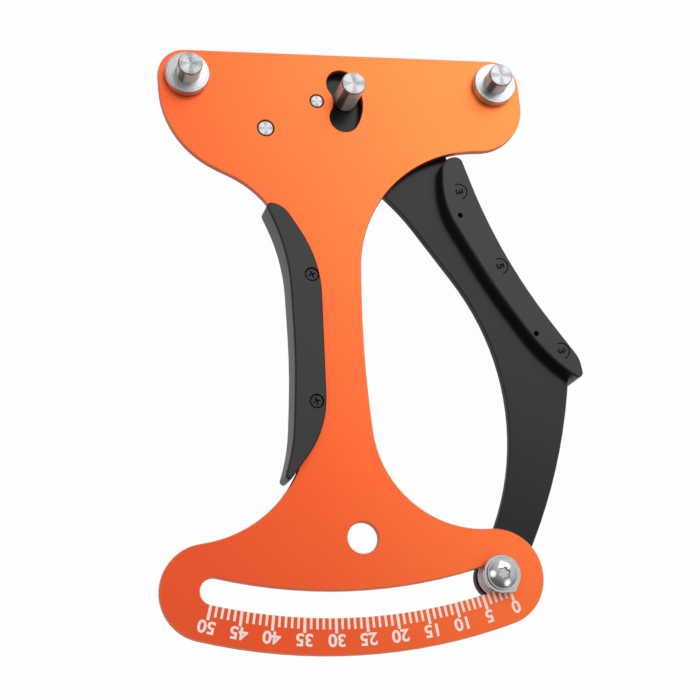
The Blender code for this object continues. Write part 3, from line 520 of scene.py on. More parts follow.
@dataclass(frozen=True)
class TurnedSteel:
    """Bright steel with the fine rings that a lathe leaves round the piece's own axis.

    On a real face such rings throw light back in sectors; here the end face is painted in light
    and dark sectors about the axis, darker than the rest, as a painted reflection, and the sides
    carry a painted reflection: a lighter, less metallic grey with a dark streak down the shank.
    """

    name: str
    axis: tuple[float, float]
    face_radius: float
    ring_depth: float = 0.000040
    ring_scale: float = 4200.0
    stain_scale: float = 900.0
    colour: Colour = (0.47, 0.47, 0.48)
    dull_colour: Colour = (0.41, 0.41, 0.42)
    # Painted reflection: a light grey on the sides, less metallic on the shank.
    side_colour: Colour = (0.84, 0.84, 0.84)
    # Painted reflection: the end face's light and dark sectors, both darker than the rest of the
    # steel.
    light_colour: Colour = (0.36, 0.36, 0.37)
    dark_colour: Colour = (0.24, 0.24, 0.25)
    # Painted reflection: one dark streak down the shank's side.
    streak_colour: Colour = (0.16, 0.17, 0.17)
    face_edge: Range = (0.97, 1.0)
    shank_edge: Range = (1.05, 1.1)
    sectors: int = 4
    sector_rise: Range = (-0.3, 0.9)
    streak_angle: float = math.radians(226.0)
    streak_rise: Range = (0.92, 0.985)
    side_metallic: float = 0.3
    roughness: float = 0.20
    roughness_share: float = 0.14

    def beyond(self, radius: Value, shares: Range) -> Value:
        """Return 0 inside and 1 outside an edge that is given in shares of the face's radius."""
        return radius.step(tuple(share * self.face_radius for share in shares))

    def build(self) -> bpy.types.Material:
        """Return the material: rings are a noise of the distance to the axis plus the height."""
        graph = Graph(bpy.data.materials.new(self.name))
        place = graph.coordinates()
        centred = graph.node(
            "ShaderNodeMapping", {"vector_type": "POINT"},
            {"Vector": place, "Location": (-self.axis[0], -self.axis[1], 0.0)}).outputs[0]
        flat = graph.node(
            "ShaderNodeVectorMath", {"operation": "MULTIPLY"}, {0: centred, 1: (1.0, 1.0, 0.0)})
        radius = graph.value("ShaderNodeVectorMath", {"operation": "LENGTH"}, {0: flat}, "Value")
        parts = graph.node("ShaderNodeSeparateXYZ", {}, {0: centred}).outputs
        around = graph.value(
            "ShaderNodeMath", {"operation": "ARCTAN2"}, {0: parts["Y"], 1: parts["X"]})
        rings = graph.value(
            "ShaderNodeTexNoise", {"noise_dimensions": "1D"},
            {"W": radius + Value(graph, parts["Z"]), "Scale": self.ring_scale}, "Fac")
        # Painted reflection: light and dark sectors by the angle about the axis.
        painted_sector = (around * self.sectors).cosine().step(self.sector_rise)
        face = graph.mix(painted_sector, self.light_colour, self.dark_colour)
        metal = graph.mix(graph.noise(place, self.stain_scale), self.colour, self.dull_colour)
        side = 1.0 - graph.flatness().step(WALL_RISE)
        shank = side * (1.0 - self.beyond(radius, self.shank_edge))
        # Painted reflection: a dark streak at one angle down the shank.
        painted_streak = (around - self.streak_angle).cosine().step(self.streak_rise) * shank
        # The end face inside the face radius takes the painted sectors, the rest the stained
        # metal.
        level = graph.mix(self.beyond(radius, self.face_edge), face, metal)
        # Painted reflection: the sides take the light grey and the dark streak.
        wall = graph.mix(painted_streak, self.side_colour, self.streak_colour)
        return graph.surface({
            "Base Color": graph.mix(side, level, wall),
            # The shank is less metallic so that its painted grey shows.
            "Metallic": 1.0 - shank * (1.0 - self.side_metallic),
            "Roughness": rings * self.roughness_share + self.roughness,
            "Normal": graph.bump(rings, self.ring_depth),
        })


def put(name: str, data: bpy.types.ID) -> bpy.types.Object:
    """Put an object of this data in the scene, and return it."""
    thing = bpy.data.objects.new(name, data)
    bpy.context.scene.collection.objects.link(thing)
    return thing


def new_piece(mesh: bpy.types.Mesh, sharp: float = SHARP_ANGLE) -> bpy.types.Object:
    """Make a piece of a mesh: doubles merged, faces outwards, smooth but for sharp edges.

    Args:
        mesh: The mesh, which has the piece's name.
        sharp: The angle past which an edge stays sharp.

    Returns:
        The piece, at the origin.
    """
    shape = bmesh.new()
    shape.from_mesh(mesh)
    bmesh.ops.remove_doubles(shape, verts=shape.verts, dist=MERGE_DISTANCE)
    bmesh.ops.dissolve_degenerate(shape, edges=shape.edges, dist=MERGE_DISTANCE)
    bmesh.ops.recalc_face_normals(shape, faces=shape.faces)
    shape.to_mesh(mesh)
    shape.free()
    mesh.shade_smooth()
    mesh.set_sharp_from_angle(angle=sharp)
    return put(mesh.name, mesh)


def curve_mesh(curve: bpy.types.Curve) -> bpy.types.Mesh:
    """Turn a curve or a text into a mesh of the same name.

    Args:
        curve: The curve.

    Returns:
        The mesh.
    """
    source = put(curve.name + "_curve", curve)
    bpy.context.view_layer.update()
    drawn = source.evaluated_get(bpy.context.evaluated_depsgraph_get())
    mesh = bpy.data.meshes.new_from_object(drawn)
    mesh.name = curve.name
    mesh.materials.clear()
    bpy.data.objects.remove(source, do_unlink=True)
    return mesh


def filled_mesh(
    name: str, points: np.ndarray, faces: np.ndarray, edges: Sequence = ()
) -> bpy.types.Mesh:
    """Return a mesh of points, faces and loose edges."""
    mesh = bpy.data.meshes.new(name)
    mesh.from_pydata(points.reshape(-1, 3).tolist(), list(edges), faces.tolist())
    return mesh


def angles(columns: int = COLUMNS) -> np.ndarray:
    """Return the angles of a round piece's columns."""
    return np.linspace(0.0, math.tau, columns, endpoint=False)


def directions(angle: np.ndarray | float) -> np.ndarray:
    """Return the direction (cos, sin) of each angle."""
    return np.stack((np.cos(angle), np.sin(angle)), axis=-1)


def lifted(flat: np.ndarray, level: np.ndarray | float) -> np.ndarray:
    """Return places in the plane with a level, one for all or by rows, as third coordinate."""
    heights = np.broadcast_to(np.asarray(level, float)[..., None], (*flat.shape[:-1], 1))
    return np.concatenate((flat, heights), axis=-1)


def grid_faces(rows: int, columns: int, ring: bool = False) -> np.ndarray:
    """Number the quads of a grid whose columns close into a loop.

    Args:
        rows: How many rows of points there are.
        columns: How many points a row holds.
        ring: Whether the last row joins the first.

    Returns:
        Four point numbers a quad.
    """
    row = np.arange(rows if ring else rows - 1)[:, None]
    column = np.arange(columns)[None, :]
    beside = (column + 1) % columns
    below = (row + 1) % rows
    corners = (row * columns + column, row * columns + beside,
               below * columns + beside, below * columns + column)
    return np.stack(corners, axis=-1).reshape(-1, 4)


def round_piece(
    name: str, axis: np.ndarray, rows: Sequence[Row], ring: bool, columns: int = COLUMNS
) -> bpy.types.Object:
    """Carry a profile about an upright axis.

    A point of row i at angle a is (axis + radius_i(a) * (cos a, sin a), level_i(a)); a
    radius or a level is one number for a round row, or an array over the angles.

    Args:
        name: The piece's name.
        axis: The axis' place in the plane.
        rows: Radius and level of each row.
        ring: Whether the last row joins the first, as on a piece with a bore.
        columns: How many angles there are.

    Returns:
        The piece.
    """
    radius, level = (
        np.stack([np.broadcast_to(np.asarray(row[part], float), columns) for row in rows])
        for part in (0, 1))
    points = lifted(axis + radius[..., None] * directions(angles(columns)), level)
    return new_piece(filled_mesh(name, points, grid_faces(len(rows), columns, ring)))


def rounded(corners: Sequence[tuple[float, float, float]]) -> list[Row]:
    """Round the corners of an open profile.

    An arc of the corner's radius touches both edges: its points are the centre plus the
    radius times the direction that turns evenly from one edge's normal to the other's.

    Args:
        corners: Radius, level and rounding of each corner.

    Returns:
        The rows of the rounded profile.
    """
    points = [np.array(corner[:2]) for corner in corners]
    rows: list[Row] = [tuple(points[0])]
    for before, point, after, corner in zip(points, points[1:], points[2:], corners[1:]):
        if corner[2] == 0.0:
            rows.append(tuple(point))
            continue
        first, second = (before - point), (after - point)
        first, second = first / np.linalg.norm(first), second / np.linalg.norm(second)
        half = math.acos(float(np.clip(first @ second, -1.0, 1.0))) / 2
        middle = (first + second) / np.linalg.norm(first + second)
        centre = point + middle * corner[2] / math.sin(half)
        start = point + first * corner[2] / math.tan(half) - centre
        end = point + second * corner[2] / math.tan(half) - centre
        share = np.linspace(0.0, 1.0, ROUND_STEPS + 1)[:, None]
        spread = math.pi - 2 * half
        arc = start * np.sin((1 - share) * spread) + end * np.sin(share * spread)
        rows += [tuple(place) for place in centre + arc / math.sin(spread)]
    rows.append(tuple(points[-1]))
    return rows


def hexagon(flat_radius: float) -> np.ndarray:
    """Return a hexagon's radius over the angles.

    The radius is the flats' distance from the centre over the cosine of the angle to the
    nearest flat's middle.

    Args:
        flat_radius: The distance from the centre to a flat.

    Returns:
        The radius at each of a round piece's angles.
    """
    sixth = math.tau / 6
    return flat_radius / np.cos(angles() % sixth - sixth / 2)


def closed_outline(corners: np.ndarray) -> tuple[np.ndarray, np.ndarray]:
    """Round every corner of a closed outline.

    An arc starts where its tangent length, the radius times the tangent of half of the
    turn, is left before the corner; its points are the centre plus the radius times
    (cos, sin) of angles that go on evenly by the turn. A fillet that is too long for its
    two edges is made smaller.

    Args:
        corners: Place and radius of each corner.

    Returns:
        The outline's points and their outward normals.
    """
    points, radii = corners[:, :2], corners[:, 2]
    edges = np.roll(points, -1, axis=0) - points
    before = np.roll(edges, 1, axis=0)
    lengths = np.linalg.norm(edges, axis=1)
    turns = np.arctan2(
        before[:, 0] * edges[:, 1] - before[:, 1] * edges[:, 0], np.sum(before * edges, axis=1))
    runs = radii * np.abs(np.tan(turns / 2))
    room = np.minimum(lengths / (runs + np.roll(runs, -1)), 1.0)
    fits = np.minimum(room, np.roll(room, 1))
    along = before / np.linalg.norm(before, axis=1)[:, None]
    start = points - along * (runs * fits)[:, None]
    inward = np.stack((-along[:, 1], along[:, 0]), axis=1) * np.sign(turns)[:, None]
    centre = start + inward * (radii * fits)[:, None]
    first = np.arctan2(start[:, 1] - centre[:, 1], start[:, 0] - centre[:, 0])
    direction = directions(
        first[:, None] + turns[:, None] * np.linspace(0.0, 1.0, CORNER_STEPS + 1))
    outline = centre[:, None] + (radii * fits)[:, None, None] * direction
    outward = direction * (np.sign(turns) * np.sign(turns.sum()))[:, None, None]
    outline, outward = outline.reshape(-1, 2), outward.reshape(-1, 2)
    apart = np.linalg.norm(np.roll(outline, -1, axis=0) - outline, axis=1) > LEAST_EDGE
    return outline[apart], outward[apart]


@dataclass(frozen=True)
class Bore:
    """A blind round hole in one of a block's flat faces."""

    centre: np.ndarray
    radius: float
    mouth: float
    floor: float

    def rows(self) -> np.ndarray:
        """Return rings of points at the mouth, at the floor and at the floor's middle."""
        radius = np.array((self.radius, self.radius, 0.0))[:, None, None]
        level = np.array((self.mouth, self.floor, self.floor))[:, None]
        return lifted(self.centre + radius * directions(angles(COLUMNS // 2)), level)


@dataclass(frozen=True)
class PiercedBlock:
    """A moulded block: a wall with round edges, two flat faces and blind bores."""

    name: str
    outline: np.ndarray
    outward: np.ndarray
    levels: tuple[float, float]
    rounding: float
    bores: Sequence[Bore]

    def wall(self) -> np.ndarray:
        """Return the wall's rows of points, top down.

        A point is the outline's less the outward normal times the inset; over a round edge
        the inset is the rounding times 1 - sin t and the level lies the rounding times
        1 - cos t from the face, as t goes from 0 to a right angle.

        Returns:
            The rows.
        """
        bottom, top = self.levels
        turn = np.linspace(0.0, QUARTER_TURN, ROUND_STEPS + 1)
        inset, fall = self.rounding * (1.0 - np.sin(turn)), self.rounding * (1.0 - np.cos(turn))
        inset = np.concatenate((inset, inset[::-1]))
        level = np.concatenate((top - fall, (bottom + fall)[::-1]))
        return lifted(self.outline - self.outward * inset[:, None, None], level[:, None])

    def face(self, rim: np.ndarray, level: float) -> bpy.types.Mesh:
        """Fill a flat face between its rim and the mouths of its bores.

        Args:
            rim: The points where the face meets the wall.
            level: The face's level.

        Returns:
            The face's mesh.
        """
        loops = [rim, *(bore.rows()[0] for bore in self.bores if bore.mouth == level)]
        starts = np.cumsum([0, *map(len, loops)])
        runs = [np.arange(first, after) for first, after in zip(starts, starts[1:])]
        edges = np.concatenate([np.stack((run, np.roll(run, -1)), axis=1) for run in runs])
        mesh = filled_mesh(self.name + "_face", np.concatenate(loops), np.empty(0), edges.tolist())
        shape = bmesh.new()
        shape.from_mesh(mesh)
        bmesh.ops.triangle_fill(shape, edges=shape.edges, use_beauty=True)
        shape.to_mesh(mesh)
        shape.free()
        return mesh

    def build(self) -> bpy.types.Object:
        """Join the wall, the bores and the two faces into a piece."""
        wall = self.wall()
        parts = [
            filled_mesh(self.name + "_side", rows, grid_faces(*rows.shape[:2]))
            for rows in (wall, *(bore.rows() for bore in self.bores))]
        parts += [self.face(wall[0], self.levels[1]), self.face(wall[-1], self.levels[0])]
        shape = bmesh.new()
        for part in parts:
            shape.from_mesh(part)
            bpy.data.meshes.remove(part)
        mesh = bpy.data.meshes.new(self.name)
        shape.to_mesh(mesh)
        shape.free()
        return new_piece(mesh)


@dataclass(frozen=True)
class Digits:
    """Plain digits as thin slabs.

    The narrowing is their width against the font's own, and the boldness is how far the
    strokes are widened. They stand out of their ground, and reach into it, by the thickness.
    """

    height: float
    thickness: float
    narrowing: float
    boldness: float

    def build(self, name: str, text: str, place: np.ndarray, turn: float) -> bpy.types.Object:
        """Make a number.

        Args:
            name: The piece's name.
            text: The digits.
            place: The middle of the text.
            turn: How far it is turned about +Z.

        Returns:
            The piece, at the origin.
        """
        curve = bpy.data.curves.new(name, "FONT")
        curve.body = text
        curve.size = self.height
        curve.extrude = self.thickness
        curve.offset = self.boldness
        mesh = curve_mesh(curve)
        points = np.empty(len(mesh.vertices) * 3, np.float32)
        mesh.vertices.foreach_get("co", points)
        points = points.reshape(-1, 3)
        low, high = points.min(axis=0), points.max(axis=0)
        fit = self.height / (high[1] - low[1])
        move = Matrix.Translation(place) @ Matrix.Rotation(turn, 4, "Z")
        shrink = Matrix.Diagonal((fit * self.narrowing, fit, 1.0, 1.0))
        centre = Matrix.Translation((-(low[0] + high[0]) / 2, -(low[1] + high[1]) / 2, 0.0))
        mesh.transform(move @ shrink @ centre)
        return new_piece(mesh)


@dataclass
class Bench:
    """Where pieces are measured against the frame, finished and put on their bodies."""

    nodes: dict
    made: dict = field(default_factory=dict)
    flat_normal: float = 0.9999

    def axis(self, node: str) -> np.ndarray:
        """Return the place in the plane of a round node's axis."""
        low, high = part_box(node)
        return np.array(((low.x + high.x) / 2, (low.y + high.y) / 2))

    def size(self, node: str) -> tuple[float, float, float]:
        """Return a node's lowest level, its highest level and half of its width."""
        low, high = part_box(node)
        return low.z, high.z, (high.x - low.x) / 2

    def sleeve(self, node: str, bore: float, edge: float) -> list[Row]:
        """Return the profile of a node that is a plain sleeve or washer, down its outside."""
        bottom, top, reach = self.size(node)
        return rounded([
            (bore, top, 0.0), (reach, top, edge), (reach, bottom, edge), (bore, bottom, 0.0)])

    def steel(self, node: str, face_radius: float, **others: float) -> TurnedSteel:
        """Return turned steel centred on a node."""
        return TurnedSteel(node + "_finish", tuple(self.axis(node)), face_radius, **others)

    def seat(
        self,
        piece: bpy.types.Object,
        finish: Union[Finish, TurnedSteel],
        body: Body,
        slot: Slot | None = None,
        node: str = "",
        stretch: Sequence[Vector] = (),
    ) -> None:
        """Give a piece its finish and its body, and hide the solid that it stands for.

        Args:
            piece: The piece.
            finish: What it is finished with.
            body: The body that it moves with.
            slot: The record's slot of its finish, if it has one; not used.
            node: The solid that it is shown for, if any.
            stretch: On a piece between the frame and the lever, where it leaves each; such a piece
                is put on no body, and its place is baked into its mesh.
        """
        if finish not in self.made:
            self.made[finish] = finish.build()
        piece.data.materials.clear()
        piece.data.materials.append(self.made[finish])
        if stretch:
            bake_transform(piece)
        else:
            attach(piece, body.value)
        if node:
            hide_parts(node)
        log.info("%s on %s: %d faces", piece.name, body.value, len(piece.data.polygons))

    def turned(
        self,
        node: str,
        rows: Sequence[Row],
        finish: Union[Finish, TurnedSteel],
        body: Body,
        slot: Slot,
        ring: bool = False,
        name: str = "",
    ) -> None:
        """Make and seat a round piece on a node's own axis.

        Args:
            node: The solid that it stands for.
            rows: Its profile.
            finish: What it is finished with.
            body: The body that it moves with.
            slot: The record's slot of its finish; not used.
            ring: Whether it has a bore.
            name: Its name, where that isn't the node's with _turning.
        """
        piece = round_piece(name or node + "_turning", self.axis(node), rows, ring)
        self.seat(piece, finish, body, slot, node)

    def copy(self, node: str, name: str) -> bpy.types.Object:
        """Copy a sheet or moulded node's solid as a piece of its own."""
        mesh = self.nodes[node].data.copy()
        mesh.name = name
        return self.with_flats(new_piece(mesh))

    def with_flats(self, piece: bpy.types.Object) -> bpy.types.Object:
        """Keep a piece's level faces flat beside its round edges.

        Args:
            piece: The piece.

        Returns:
            The same piece.
        """
        mesh = piece.data
        normals = np.empty(len(mesh.polygons) * 3, np.float32)
        mesh.polygons.foreach_get("normal", normals)
        curved = np.abs(normals.reshape(-1, 3)[:, 2]) < self.flat_normal
        mesh.polygons.foreach_set("use_smooth", curved)
        piece.modifiers.new("Flats", "WEIGHTED_NORMAL").keep_sharp = True
        return piece


@dataclass
class Plate:
    """The orange plate and the print of its scale."""

    bench: Bench
    pivot: np.ndarray
    scale_start_radius: float = 0.1689
    major_length: float = 0.0046
    minor_length: float = 0.0034
    major_width: float = 0.00090
    minor_width: float = 0.00076
    divisions: int = 50
    major_every: int = 5
    scale_middle: float = math.radians(270.0)
    scale_half_angle: float = math.radians(16.2)
    early_divisions: int = 15
    early_shift: float = math.radians(0.45)
    digit_radius: float = 0.1756
    digits: Digits = Digits(height=0.0039, thickness=0.00003, narrowing=1.06, boldness=0.00010)

    def angle(self, division: np.ndarray | float) -> np.ndarray | float:
        """Return the angle of a division about the pivot; zero is at the right.

        The divisions are even, but the early ones close up towards zero by the square of
        what is left to the last early one.
        """
        left = np.maximum(1.0 - division / self.early_divisions, 0.0)
        even = self.scale_half_angle * (1.0 - 2.0 * division / self.divisions)
        return self.scale_middle + even - self.early_shift * left ** 2

    def build(self) -> None:
        """Make the plate, its divisions and its numbers, whose tops point away from the pivot."""
        blank = self.bench.copy("body_plate", "plate_blank")
        self.bench.seat(blank, Anodised(), Body.FRAME, Slot.ORANGE, "body_plate")
        front = self.bench.size("body_plate")[1]
        self.bench.seat(self.ticks(front), PrintedInk(), Body.FRAME)
        for division in range(0, self.divisions + 1, self.major_every):
            angle = self.angle(division)
            place = lifted(self.pivot + self.digit_radius * directions(angle), front)
            number = self.digits.build(
                f"scale_number_{division}", str(division), place, angle - QUARTER_TURN)
            self.bench.seat(number, PrintedInk(), Body.FRAME)

    def ticks(self, front: float) -> bpy.types.Object:
        """Make the divisions.

        Each is a thin slab along its radius: its corners are the pivot plus the radial
        direction times the start or end radius, and the crossways direction times half of
        the width, one ink thickness under and over the plate's front.

        Args:
            front: The level of the plate's front.

        Returns:
            The piece.
        """
        count = np.arange(self.divisions + 1)
        major = count % self.major_every == 0
        outward = directions(self.angle(count))
        across = np.stack((-outward[:, 1], outward[:, 0]), axis=-1)
        end = self.scale_start_radius + np.where(major, self.major_length, self.minor_length)
        half = np.where(major, self.major_width, self.minor_width) / 2
        start = np.full_like(end, self.scale_start_radius)
        along = np.stack((start, end, end, start), axis=-1)
        sideways = np.stack((-half, -half, half, half), axis=-1)
        flat = (self.pivot + along[..., None] * outward[:, None]
                + sideways[..., None] * across[:, None])
        ink = self.digits.thickness
        points = np.concatenate((lifted(flat, front - ink), lifted(flat, front + ink)), axis=1)
        block = np.array([
            (3, 2, 1, 0), (4, 5, 6, 7), (0, 1, 5, 4), (1, 2, 6, 5), (2, 3, 7, 6), (3, 0, 4, 7)])
        faces = (block[None] + 8 * count[:, None, None]).reshape(-1, 4)
        return new_piece(filled_mesh("scale_divisions", points, faces))


@dataclass
class Posts:
    """The three posts that a spoke is pressed between, and their rear screws."""

    bench: Bench
    radius: float = 0.004
    chamfer: float = 0.00032
    edge: float = 0.00012
    flange_thickness: float = 0.003
    flange_edge: float = 0.0004
    screw_radius: float = 0.0015
    head_height: float = 0.0022
    head_rounding: float = 0.0008
    socket_radius: float = 0.00125
    socket_depth: float = 0.0012
    dimple_radius: float = 0.0004
    dimple_depth: float = 0.00012

    def build(self) -> None:
        """Make the posts and their screws."""
        for post, body in (
            ("fixed_post_left", Body.FRAME),
            ("fixed_post_right", Body.FRAME),
            ("moving_post", Body.LEVER),
        ):
            steel = self.bench.steel(post, self.radius)
            self.bench.turned(post, self.post(post, body is Body.FRAME), steel, body, Slot.TURNED)
            screw = post.replace("post", "post_screw")
            self.bench.turned(screw, self.screw(screw), PlatedSteel(), body, Slot.PLATED)

    def post(self, node: str, flanged: bool) -> list[Row]:
        """Return a post's profile, top down: dimple, face, chamfer, side, flange and foot.

        Args:
            node: The solid that it stands for.
            flanged: Whether it has a flange.

        Returns:
            The rows.
        """
        foot, top, widest = self.bench.size(node)
        corners = [
            (0.0, top - self.dimple_depth, 0.0), (self.dimple_radius, top, 0.0),
            (self.radius - self.chamfer, top, self.edge),
            (self.radius, top - self.chamfer, self.edge),
        ]
        reach = self.radius
        if flanged:
            reach = widest
            flange_top = self.bench.size("body_plate")[1] + self.flange_thickness
            corners += [
                (self.radius, flange_top, self.edge), (reach, flange_top, self.flange_edge)]
        return rounded([*corners, (reach, foot, self.edge), (0.0, foot, 0.0)])

    def screw(self, node: str) -> list[Row]:
        """Return a socket screw's profile, from the socket's floor round the head to the tip."""
        back, tip, reach = self.bench.size(node)
        under_head = back + self.head_height
        socket = hexagon(self.socket_radius)
        return [
            (0.0, back + self.socket_depth), (socket, back + self.socket_depth),
            (socket, back + self.edge), (socket + self.edge, back),
            *rounded([
                (reach - self.head_rounding - self.edge, back, 0.0),
                (reach, back, self.head_rounding), (reach, under_head, 0.0),
                (self.screw_radius, under_head, 0.0), (self.screw_radius, tip, self.edge),
                (0.0, tip, 0.0),
            ]),
        ]


@dataclass
class Pivot:
    """The pivot pin with its bush and washer, and the return spring between its two studs."""

    bench: Bench
    pin_radius: float = 0.002
    pin_edge: float = 0.00014
    head_height: float = 0.0015
    bore: float = 0.0023
    sleeve_radius: float = 0.0033
    flange_height: float = 0.0009
    edge: float = 0.00012
    stud_neck_radius: float = 0.0012
    stud_flange_radius: float = 0.002
    stud_flange_height: float = 0.0008
    anchor_radius: float = 0.00245
    stud_radius: float = 0.0017
    face_radius: float = 0.002695
    ring_depth: float = 0.000012
    wire_radius: float = 0.0004
    wire_rounding: int = 3
    wire_sharp_angle: float = math.radians(60.0)
    gap: float = 0.0003
    pitch: float = 0.0014
    hook_run: float = 0.0012
    hook_sweep: float = math.radians(215.0)
    hook_points: int = 24
    hook_share: float = 0.16
    curl_points: int = 30

    def build(self) -> None:
        """Make the pin, the bush, the washer, the studs and the spring."""
        turned = self.bench.turned
        turned("pivot_pin", self.pin(), self.steel("pivot_pin"), Body.FRAME, Slot.TURNED)
        turned("pivot_bushing", self.bush(), SinteredBronze(), Body.LEVER, Slot.BRONZE, True,
               "pivot_bush_turning")
        washer = self.bench.sleeve("pivot_washer", self.bore, self.edge)
        turned("pivot_washer", washer, PlatedSteel(), Body.LEVER, Slot.PLATED, True)
        for node, shank, seat, body in (
            ("spring_anchor_pin", self.anchor_radius, "body_plate", Body.FRAME),
            ("spring_stud", self.stud_radius, "lever_arm", Body.LEVER),
        ):
            turned(node, self.stud(node, shank, seat), self.steel(node), body, Slot.TURNED)
        anchor, stud = self.bench.axis("spring_anchor_pin"), self.bench.axis("spring_stud")
        levels = self.bench.size("return_spring")[:2]
        inset = (stud - anchor) * self.hook_share
        ends = [Vector((*place, levels[0])) for place in (anchor + inset, stud - inset)]
        self.bench.seat(
            self.spring(anchor, stud, levels), PlatedSteel(), Body.FRAME, Slot.PLATED,
            "return_spring", ends)

    def steel(self, node: str) -> TurnedSteel:
        """Return the finish of one of the pins."""
        return self.bench.steel(node, self.face_radius, ring_depth=self.ring_depth)

    def pin(self) -> list[Row]:
        """Return the pivot pin's profile, from its front end back to its head."""
        back, front, reach = self.bench.size("pivot_pin")
        under_head = back + self.head_height
        return rounded([
            (0.0, front, 0.0), (self.pin_radius, front, self.pin_edge),
            (self.pin_radius, under_head, 0.0), (reach, under_head, self.edge),
            (reach, back, self.pin_edge), (0.0, back, 0.0),
        ])

    def bush(self) -> list[Row]:
        """Return the flanged bush's profile, down its outside."""
        bottom, top, reach = self.bench.size("pivot_bushing")
        shoulder = top - self.flange_height
        return rounded([
            (self.bore, top, 0.0), (reach, top, self.edge), (reach, shoulder, self.edge),
            (self.sleeve_radius, shoulder, 0.0), (self.sleeve_radius, bottom, self.edge),
            (self.bore, bottom, 0.0),
        ])

    def stud(self, node: str, shank: float, seat: str) -> list[Row]:
        """Return a spring stud's profile: end, shank, collar, neck for the hook and end flange.

        Args:
            node: The solid that it stands for.
            shank: The shank's radius.
            seat: The piece that its collar sits behind.

        Returns:
            The rows.
        """
        end, front, collar = self.bench.size(node)
        under_seat = self.bench.size(seat)[0] - self.gap
        neck_end = end + self.stud_flange_height
        neck_start = neck_end + 2 * (self.wire_radius + self.gap)
        return rounded([
            (0.0, front, 0.0), (shank - self.pin_edge, front, 0.0),
            (shank, front - self.pin_edge, 0.0), (shank, under_seat, 0.0),
            (collar, under_seat, self.edge), (collar, neck_start, self.edge),
            (self.stud_neck_radius, neck_start, 0.0), (self.stud_neck_radius, neck_end, 0.0),
            (self.stud_flange_radius, neck_end, self.edge),
            (self.stud_flange_radius, end, self.edge), (0.0, end, 0.0),
        ])

    def spring(
        self, anchor: np.ndarray, stud: np.ndarray, levels: tuple[float, float]
    ) -> bpy.types.Object:
        """Make the extension spring as one wire.

        Along the line between the studs, the curls are a helix about it and the hooks are
        arcs about each stud in the plane of the plate.

        Args:
            anchor: The place of the plate's stud.
            stud: The place of the lever's stud.
            levels: The spring's lowest and highest level.

        Returns:
            The piece.
        """
        low, high = levels
        coil = (high - low) / 2 - self.wire_radius
        span = float(np.linalg.norm(stud - anchor))
        along = (stud - anchor) / span
        across = np.array((-along[1], along[0]))
        turns = math.floor((span - 2 * (coil + self.hook_run)) / self.pitch) - 0.5
        start = (span - turns * self.pitch) / 2
        hook = self.hook_sweep * np.linspace(1.0, 0.0, self.hook_points)
        far_hook = hook[::-1]
        share = np.linspace(0.0, 1.0, round(turns * self.curl_points))
        curl = math.tau * turns * share
        distance = np.concatenate((
            -coil * np.sin(hook), start + turns * self.pitch * share,
            span + coil * np.sin(far_hook)))
        sideways = coil * np.concatenate((-np.cos(hook), -np.cos(curl), np.cos(far_hook)))
        height = coil * np.concatenate((np.zeros_like(hook), np.sin(curl), np.zeros_like(hook)))
        flat = anchor + distance[:, None] * along + sideways[:, None] * across
        points = np.column_stack((flat, (low + high) / 2 + height, np.ones_like(height)))
        curve = bpy.data.curves.new("return_spring_wire", "CURVE")
        curve.dimensions = "3D"
        curve.bevel_depth = self.wire_radius
        curve.bevel_resolution = self.wire_rounding
        curve.use_fill_caps = True
        line = curve.splines.new("POLY")
        line.points.add(len(points) - 1)
        line.points.foreach_set("co", points.astype(np.float32).ravel())
        return new_piece(curve_mesh(curve), self.wire_sharp_angle)


